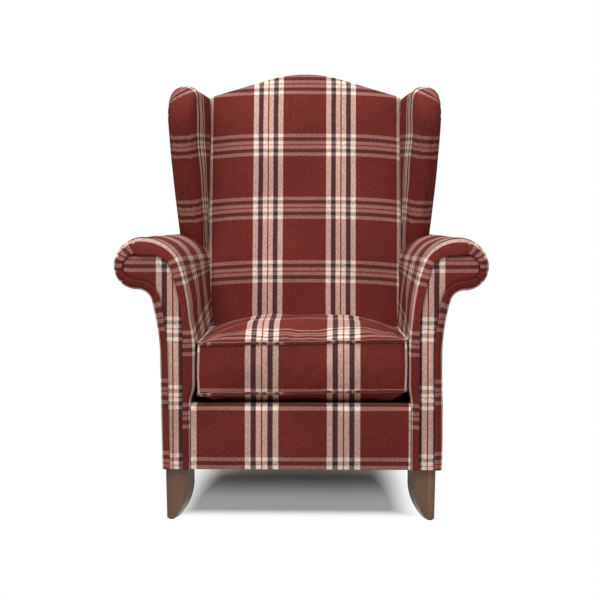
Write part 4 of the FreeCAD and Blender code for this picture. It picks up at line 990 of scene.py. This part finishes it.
def filled(piece, seams, pressure, cap, steps=20):
    """The cover swells between its seams, as cloth over a full core; the result stays in the mesh."""
    mesh = piece.data
    before = np.array([vertex.co[:] for vertex in mesh.vertices])
    finder = KDTree(len(before))
    for index, place in enumerate(before):
        finder.insert(place, index)
    finder.balance()
    held = sorted({finder.find(place)[1] for place in seams * MM})
    piece.vertex_groups.new(name="seams").add(held, 1.0, "REPLACE")
    cloth = piece.modifiers.new("cloth", "CLOTH")
    settings = cloth.settings
    settings.quality = 6
    settings.mass = 0.35
    settings.tension_stiffness = settings.compression_stiffness = 18
    settings.shear_stiffness = 6
    settings.bending_stiffness = 1.2
    settings.vertex_group_mass = "seams"
    settings.use_pressure = True
    settings.uniform_pressure_force = pressure
    settings.shrink_min = -0.006
    settings.effector_weights.gravity = 0
    cloth.collision_settings.use_collision = False
    cloth.point_cache.frame_end = steps
    scene = bpy.context.scene
    for step in range(1, steps + 1):
        scene.frame_set(step)
    swollen = piece.evaluated_get(bpy.context.evaluated_depsgraph_get())
    after = np.array([vertex.co[:] for vertex in swollen.data.vertices])
    move = after - before
    length = np.linalg.norm(move, axis=1, keepdims=True)
    move *= np.minimum(1, cap * MM / np.maximum(length, 1e-9))
    piece.modifiers.remove(cloth)
    scene.frame_set(1)
    mesh.vertices.foreach_set("co", (before + move).ravel())
    mesh.update()


def cushion_plan(a, b):
    """Point of the cushion's plan for two shares from -1 to 1, with rounded corners."""
    c = CUSHION
    r = c["corner"]
    middle = (c["near"] + c["far"]) / 2
    deep = (c["far"] - c["near"]) / 2
    share = (b + 1) / 2
    half = blend(c["half"], c["rear_half"], share)
    x = a * half
    y = middle + b * deep
    # Square corners are drawn in to their radius
    over_x = np.clip((np.abs(a) * half - (half - r)) / r, 0, 1)
    over_y = np.clip((np.abs(b) * deep - (deep - r)) / r, 0, 1)
    x = c["middle"] + np.sign(a) * (np.abs(x) - r * over_x * (1 - np.sqrt(1 - over_y ** 2 / 2)))
    y = middle + np.sign(b) * (np.abs(y - middle) - r * over_y * (1 - np.sqrt(1 - over_x ** 2 / 2)))
    return x, y, half, deep


def cushion():
    columns = edge_bunched(97, 1.35)
    a, b = np.meshgrid(columns, columns)
    x, y, half, deep = cushion_plan(a, b)
    edge = soft_min((1 - np.abs(a)) * half, (1 - np.abs(b)) * deep, 26.0)
    edge = np.where(np.minimum(1 - np.abs(a), 1 - np.abs(b)) < 1e-9, 0, np.maximum(edge, 0))
    rise = 1 - (1 - np.clip(edge / 172.0, 0, 1)) ** 2.1
    spread = np.stack([x, y], -1)
    wave = ripple(spread, 120, 41)
    top_z = UPPER_WELT + lean(x, y) + CUSHION_LIFT * rise + 1.1 * wave * smooth(5, 60, edge)
    under_rise = 1 - (1 - np.clip(edge / 48.0, 0, 1)) ** 2.2
    low = LOWER_WELT + lean(x, y)
    under_z = low - (low - PLATFORM - 0.2) * under_rise
    grids = Grids()
    cloth_top = np.stack([x - SEAT_WARP, (y - CUSHION["near"]) * 1.03 - 46.0], -1)
    grids.add(np.stack([x, FRONT + y, top_z], -1), cloth_top)
    cloth_under = np.stack([x - SEAT_WARP, -(y - CUSHION["near"]) * 1.01 + 284.0 - WEFT_REPEAT], -1)
    grids.add(np.stack([x, FRONT + y, under_z], -1), cloth_under, True)
    # Boxing, side by side, from the upper welt to the lower
    levels = np.linspace(0, 1, 25)
    bulge = 1 - (2 * levels - 1) ** 2
    for rim_x, rim_y, normal, flip, start in (
            (x[0], y[0], (0, -1), False, "front"), (x[-1], y[-1], (0, 1), True, "rear"),
            (x[:, 0], y[:, 0], (-1, 0), True, "left"), (x[:, -1], y[:, -1], (1, 0), False, "right")):
        along = np.stack([rim_x, rim_y], -1)
        run = lengths_along(along)
        ends = np.minimum(run, run[-1] - run)
        fullness = {"front": 6.5, "rear": 0.0}.get(start, 1.0)
        spread = np.stack([run[None] + 0 * levels[:, None], levels[:, None] * 116 + 0 * run[None]], -1)
        uneven = 0.5 * ripple(spread, 60, 47) * smooth(0, 30, ends)[None]
        # The rear stays flat behind the zip
        offset = bulge[:, None] * (1.6 + fullness * smooth(0, 90, ends)[None] + uneven) * (start != "rear")
        tangent = tangents_of(along)
        side_normal = np.stack([tangent[:, 1], -tangent[:, 0]], -1)
        if (side_normal[len(side_normal) // 2] @ np.array(normal)) < 0:
            side_normal = -side_normal
        px = along[None, :, 0] + offset * side_normal[None, :, 0]
        py = along[None, :, 1] + offset * side_normal[None, :, 1]
        pz = UPPER_WELT - levels[:, None] * (UPPER_WELT - LOWER_WELT) + lean(along[:, 0], along[:, 1])[None]
        u = px - SEAT_WARP if start in ("front", "rear") else py - CUSHION["near"] + 60.0
        cloth = np.stack([u, pz - UPPER_WELT - 31.0], -1)
        panel = np.stack([px, FRONT + py, pz], -1)
        grids.add(panel, cloth, not flip)
        if start == "rear":
            behind_zip = panel.reshape(-1, 3)
    piece = grids.make("seat_cushion_cover", PLAID)
    rim = rim_line(x, y)
    raised = lean(rim[:, 0], rim[:, 1])
    seams = np.concatenate([np.stack([rim[:, 0], FRONT + rim[:, 1], level + raised], -1)
                            for level in (UPPER_WELT, LOWER_WELT)])
    filled(piece, np.concatenate([seams, behind_zip]), 0.9, 4.0)
    dressed(piece, "seat_cushion", ("cushion_core", "cushion_cover"))
    welts(x, y)


def rim_line(x, y):
    front = np.stack([x[0], y[0]], -1)
    right = np.stack([x[:, -1], y[:, -1]], -1)
    rear = np.stack([x[-1], y[-1]], -1)[::-1]
    left = np.stack([x[:, 0], y[:, 0]], -1)[::-1]
    return np.concatenate([front[:-1], right[:-1], rear[:-1], left[:-1]])


def resampled(line, spacing):
    closed = np.concatenate([line, line[:1]])
    at = lengths_along(closed)
    count = int(at[-1] / spacing)
    return at_steps(closed, np.linspace(0, at[-1], count, endpoint=False), at)


def welts(x, y):
    rim = rim_line(x, y)
    grids = Grids()
    radius = 3.3
    for level, seed in ((UPPER_WELT, 51), (LOWER_WELT, 52)):
        flat = resampled(rim, 5.0)
        tangent = tangents_of(flat, closed=True)
        out = np.stack([tangent[:, 1], -tangent[:, 0]], -1)
        flat = flat + out * 1.8
        height = level + lean(flat[:, 0], flat[:, 1]) + 0.9 * ripple(flat, 70, seed)
        line = np.concatenate([flat[:, :1], FRONT + flat[:, 1:], height[:, None]], 1)
        points, cloth = tube(line, radius, (-33.0, 0.0), closed=True)
        grids.add(points, cloth, True)
    r = CUSHION["corner"]
    for side in (-1, 1):
        half = CUSHION["half"]
        reach = math.sqrt(0.5) * (r + 2.4)
        corner = np.array([CUSHION["middle"] + side * (half - r + reach), CUSHION["near"] + r - reach])
        levels = np.linspace(0, 1, 24)
        bow = 1.8 * (1 - (2 * levels - 1) ** 2)
        line = np.stack([corner[0] + side * bow * 0.7, FRONT + corner[1] - bow * 0.7,
                         LOWER_WELT + levels * (UPPER_WELT - LOWER_WELT) + lean(*corner)], -1)
        points, cloth = tube(line, radius, (-33.0, 40.0))
        grids.add(points, cloth, True)
    piece = grids.make("cushion_piping", PLAID)
    dressed(piece, "seat_cushion", ("cushion_welts",))


cushion()


# Zip in the rear boxing, with its slider
ZIP_BACK = 521.0
ZIP_MIDDLE = 358.3
ZIP_HALF = 200.0
SLIDER_START = -198.8


def zip_chain():
    tape = Grids()
    x = np.linspace(-ZIP_HALF, ZIP_HALF, 161)
    across = np.array([-14.0, -13.2, -12.2, -9.0, -5.0, -2.6, 0.0, 2.6, 5.0, 9.0, 12.2, 13.2, 14.0])
    raised = np.array([0.3, 0.9, 1.1, 0.7, 0.7, 1.0, 1.0, 1.0, 0.7, 0.7, 1.1, 0.9, 0.3])
    grid_x, grid_z = np.meshgrid(x, across)
    lift = raised[:, None] + 0.12 * np.sin(grid_x * 2 * math.pi / 3.2) * (np.abs(grid_z) > 12)
    points = np.stack([grid_x, FRONT + ZIP_BACK + lift, ZIP_MIDDLE + grid_z], -1)
    tape.add(points, np.stack([grid_x, grid_z], -1), True)
    piece = tape.make("zip_tapes", ZIP_TAPE)
    dressed(piece, "seat_cushion", ("cushion_zip",))
    teeth = Grids()
    pitch = 2.4
    for index in range(int(2 * ZIP_HALF / pitch)):
        side = 1 if index % 2 else -1
        left = -ZIP_HALF + index * pitch + 0.4
        low, high = sorted((side * 2.2, -side * 0.7))
        teeth.block((left, FRONT + ZIP_BACK + 0.9, ZIP_MIDDLE + low),
                    (left + 1.5, FRONT + ZIP_BACK + 2.4, ZIP_MIDDLE + high))
    piece = teeth.make("zip_teeth", ZIP_TEETH, faceted=True)
    dressed(piece, "seat_cushion", ())


def rounded_edges(piece):
    bevel = piece.modifiers.new("edges", "BEVEL")
    bevel.width = 0.25 * MM
    bevel.segments = 2


def slider():
    """Two plates joined by a neck, with a bridge that holds the hanging pull."""
    back = FRONT + ZIP_BACK
    left, right = SLIDER_START, SLIDER_START + 12.0
    body = Grids()
    body.block((left, back + 2.7, ZIP_MIDDLE - 3.8), (right, back + 3.8, ZIP_MIDDLE + 3.8))
    for side in (-1, 1):
        low, high = sorted((side * 2.9, side * 3.8))
        body.block((left + 1.0, back + 1.3, ZIP_MIDDLE + low), (right - 1.0, back + 3.2, ZIP_MIDDLE + high))
    for low, high in ((left + 1.5, left + 3.0), (right - 4.5, right - 3.0)):
        body.block((low, back + 3.6, ZIP_MIDDLE - 0.9), (high, back + 5.4, ZIP_MIDDLE + 0.9))
    body.block((left + 1.5, back + 4.8, ZIP_MIDDLE - 0.9), (right - 3.0, back + 5.6, ZIP_MIDDLE + 0.9))
    piece = body.make("slider_body", ZIP_METAL, weld=0.001, faceted=True)
    rounded_edges(piece)
    dressed(piece, "zip_slider", ("zip_slider",))
    pull = Grids()
    middle = left + 4.8
    pull.block((middle - 2.2, back + 4.0, ZIP_MIDDLE - 20.0), (middle + 2.2, back + 4.8, ZIP_MIDDLE - 4.6))
    for side in (-1, 1):
        low, high = sorted((middle + side * 1.2, middle + side * 2.2))
        pull.block((low, back + 4.0, ZIP_MIDDLE - 5.0), (high, back + 4.7, ZIP_MIDDLE + 1.9))
    pull.block((middle - 2.2, back + 3.95, ZIP_MIDDLE + 1.1), (middle + 2.2, back + 4.65, ZIP_MIDDLE + 2.0))
    piece = pull.make("slider_pull", ZIP_METAL, weld=0.001, faceted=True)
    rounded_edges(piece)
    dressed(piece, "zip_slider", ())


zip_chain()
slider()


# Webbing across the back frame, upright and level straps woven through each other
def back_webbing():
    width, layer, thickness = 50.0, 59.2, 1.0
    foot, head = 8.0, 680.0
    uprights = np.array([-118.0, 0.0, 118.0])
    levels = np.array([169.7, 331.5, 493.2])
    straps = Grids()
    across = np.linspace(-width / 2, width / 2, 7)
    along = np.linspace(0, 1, 121)

    def over_under(place, crossings, first):
        signs = np.array([(-1) ** (index + first) for index in range(len(crossings))])
        return (signs[None] * np.exp(-((place[:, None] - crossings[None]) / 34.0) ** 2)).sum(1)

    for index, middle in enumerate(uprights):
        up = blend(foot, head, along)
        behind = layer + 0.8 * over_under(up, levels, index)
        for skin in (-0.5, 0.5):
            points = raked(middle + across[None], (behind + skin * thickness)[:, None], up[:, None])
            straps.add(points, points[..., [0, 2]], skin > 0)
    for index, level in enumerate(levels):
        x = blend(-HALF_BACK, HALF_BACK, along)
        behind = layer + 0.8 * over_under(x, uprights, index + 1)
        for skin in (-0.5, 0.5):
            points = raked(x[:, None], (behind + skin * thickness)[:, None], level + across[None])
            straps.add(points, points[..., [0, 2]], skin < 0)
    piece = straps.make("back_straps", WEBBING)
    dressed(piece, "chair", ("back_webbing",))


back_webbing()


# Dust cover, stapled to the rails and cut away round the legs
DUST_HALF = 311.0
DUST_NEAR, DUST_FAR = 34.0, 581.0
FRONT_CUT = (248.2, 64.3)
REAR_CUT = (285.7, 530.7)
STAPLE_PITCH = 42.0


def dust_cover():
    (front_x, front_y), (rear_x, rear_y) = FRONT_CUT, REAR_CUT
    x_lines = np.unique(np.concatenate([np.linspace(-DUST_HALF, DUST_HALF, 75),
                                        [-rear_x, -front_x, front_x, rear_x]]))
    y_lines = np.unique(np.concatenate([np.linspace(DUST_NEAR, DUST_FAR, 67), [front_y, rear_y]]))
    cloth = Grids()
    for left, right, near, far in (
            (-front_x, front_x, DUST_NEAR, DUST_FAR),
            (front_x, rear_x, front_y, DUST_FAR), (-rear_x, -front_x, front_y, DUST_FAR),
            (rear_x, DUST_HALF, front_y, rear_y), (-DUST_HALF, -rear_x, front_y, rear_y)):
        x = x_lines[(x_lines >= left) & (x_lines <= right)]
        y = y_lines[(y_lines >= near) & (y_lines <= far)]
        grid_x, grid_y = np.meshgrid(x, y)
        inside = np.minimum(DUST_HALF - np.abs(grid_x), np.minimum(grid_y - DUST_NEAR, DUST_FAR - grid_y))
        pulled = np.cos(grid_x * 2 * math.pi / STAPLE_PITCH) * np.cos(grid_y * 2 * math.pi / STAPLE_PITCH)
        z = BASE - 0.6 - 2.6 * smooth(25, 180, inside) - 0.35 * smooth(30, 8, inside) * (1 + pulled)
        cloth.add(np.stack([grid_x, FRONT + grid_y, z], -1), np.stack([grid_x, grid_y], -1), True)
    piece = cloth.make("dust_cloth", DUST_CLOTH)
    dressed(piece, "chair", ("dust_cover",))
    staples = Grids()
    low = BASE - 1.6
    for x in np.arange(-231.0, 232.0, STAPLE_PITCH):
        for y in (DUST_NEAR + 8, DUST_FAR - 8):
            staples.block((x - 5, FRONT + y - 0.4, low), (x + 5, FRONT + y + 0.4, low + 0.6))
    for y in np.arange(88.0, 520.0, STAPLE_PITCH):
        for x in (DUST_HALF - 8, 8 - DUST_HALF):
            staples.block((x - 0.4, FRONT + y - 5, low), (x + 0.4, FRONT + y + 5, low + 0.6))
    piece = staples.make("dust_cloth_staples", STEEL, weld=0.001, faceted=True)
    dressed(piece, "chair", ())


dust_cover()


# Solids that stay: their materials, by how their names begin; the beech by its grain's axis
SOLID_MATERIALS = (
    (("front_leg", "rear_leg"), LEG_WOOD),
    (("side_seat_rail", "arm_board", "arm_tacking"), BEECH[1]),
    (("front_post", "back_post", "wing_board"), BEECH[2]),
    (("corner_block", "front_seat_rail", "back_seat_rail", "lower_back_rail", "crest_rail"), BEECH[0]),
    (("scroll_board",), PLYWOOD),
    (("seat_springs", "spring_clips", "leg_bolts"), STEEL),
    (("leg_glides",), PLASTIC),
)
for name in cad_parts:
    for beginnings, material in SOLID_MATERIALS:
        if name.startswith(beginnings):
            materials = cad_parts[name].data.materials
            materials.clear()
            materials.append(material)


# Floor and light
FLOOR_TONE = (0.60, 0.585, 0.58, 1.0)
FLOOR_HALF = 12.0
WORLD_STRENGTH = 0.11
# Name, place, target, width, height and power
LIGHTS = (
    ("key_light", (-0.9, -2.2, 3.3), (0, 0, 0.55), 2.4, 1.6, 118),
    ("fill_light", (1.9, -2.4, 2.2), (0, 0, 0.55), 2.0, 2.0, 20),
    ("top_light", (0, -0.5, 3.4), (0, 0, 0.3), 3.0, 2.0, 48),
)


def floor():
    material, tree, shader = new_material("studio_floor")
    links = tree.links
    shader.inputs["Base Color"].default_value = FLOOR_TONE
    shader.inputs["Roughness"].default_value = 0.9
    shader.inputs["Specular IOR Level"].default_value = 0.0
    glow = node(tree, "ShaderNodeEmission")
    glow.inputs["Color"].default_value = (1, 1, 1, 1)
    coordinates = node(tree, "ShaderNodeTexCoord").outputs["Object"]
    # Its shade shows between the legs, and it is white round them
    apart = node(tree, "ShaderNodeSeparateXYZ")
    links.new(coordinates, apart.inputs[0])
    across = math_node(tree, "ABSOLUTE", math_node(tree, "ADD", apart.outputs[0], 0.02))
    whiteness = [mapped(tree, place, low, high, 0.0, most, "SMOOTHSTEP") for place, low, high, most in (
        (across, 0.19, 0.31, 1.0), (apart.outputs[1], -0.15, -0.35, 1.0),
        (apart.outputs[1], 0.35, -0.12, 0.3), (apart.outputs[1], 0.6, 1.0, 1.0))]
    far = whiteness[0]
    for other in whiteness[1:]:
        far = math_node(tree, "MAXIMUM", far, other)
    mix = node(tree, "ShaderNodeMixShader")
    links.new(math_node(tree, "MULTIPLY", far, seen_directly(tree)), mix.inputs[0])
    links.new(shader.outputs[0], mix.inputs[1])
    links.new(glow.outputs[0], mix.inputs[2])
    links.new(mix.outputs[0], tree.nodes["Material Output"].inputs["Surface"])
    mesh = bpy.data.meshes.new("floor")
    size = FLOOR_HALF
    corners = [(-size, -size, 0), (size, -size, 0), (size, size, 0), (-size, size, 0)]
    mesh.from_pydata(corners, [], [(0, 1, 2, 3)])
    mesh.materials.append(material)
    item = bpy.data.objects.new("floor", mesh)
    bpy.context.scene.collection.objects.link(item)


floor()


def area_light(name, place, target, width, height, power):
    data = bpy.data.lights.new(name, "AREA")
    data.shape = "RECTANGLE"
    data.size, data.size_y = width, height
    data.energy = power
    item = bpy.data.objects.new(name, data)
    item.location = place
    item.rotation_euler = (Vector(target) - Vector(place)).to_track_quat("-Z", "Y").to_euler()
    bpy.context.scene.collection.objects.link(item)


for light in LIGHTS:
    area_light(*light)

world = bpy.data.worlds.new("studio")
bpy.context.scene.world = world
world.use_nodes = True
tree = world.node_tree
background = tree.nodes["Background"]
background.inputs["Color"].default_value = (1, 1, 1, 1)
background.inputs["Strength"].default_value = WORLD_STRENGTH
seen_background = node(tree, "ShaderNodeBackground")
seen_background.inputs["Color"].default_value = (1, 1, 1, 1)
seen_background.inputs["Strength"].default_value = 1.0
world_mix = node(tree, "ShaderNodeMixShader")
tree.links.new(seen_directly(tree), world_mix.inputs[0])
tree.links.new(background.outputs[0], world_mix.inputs[1])
tree.links.new(seen_background.outputs[0], world_mix.inputs[2])
tree.links.new(world_mix.outputs[0], tree.nodes["World Output"].inputs["Surface"])

bpy.context.scene.view_settings.view_transform = "Standard"
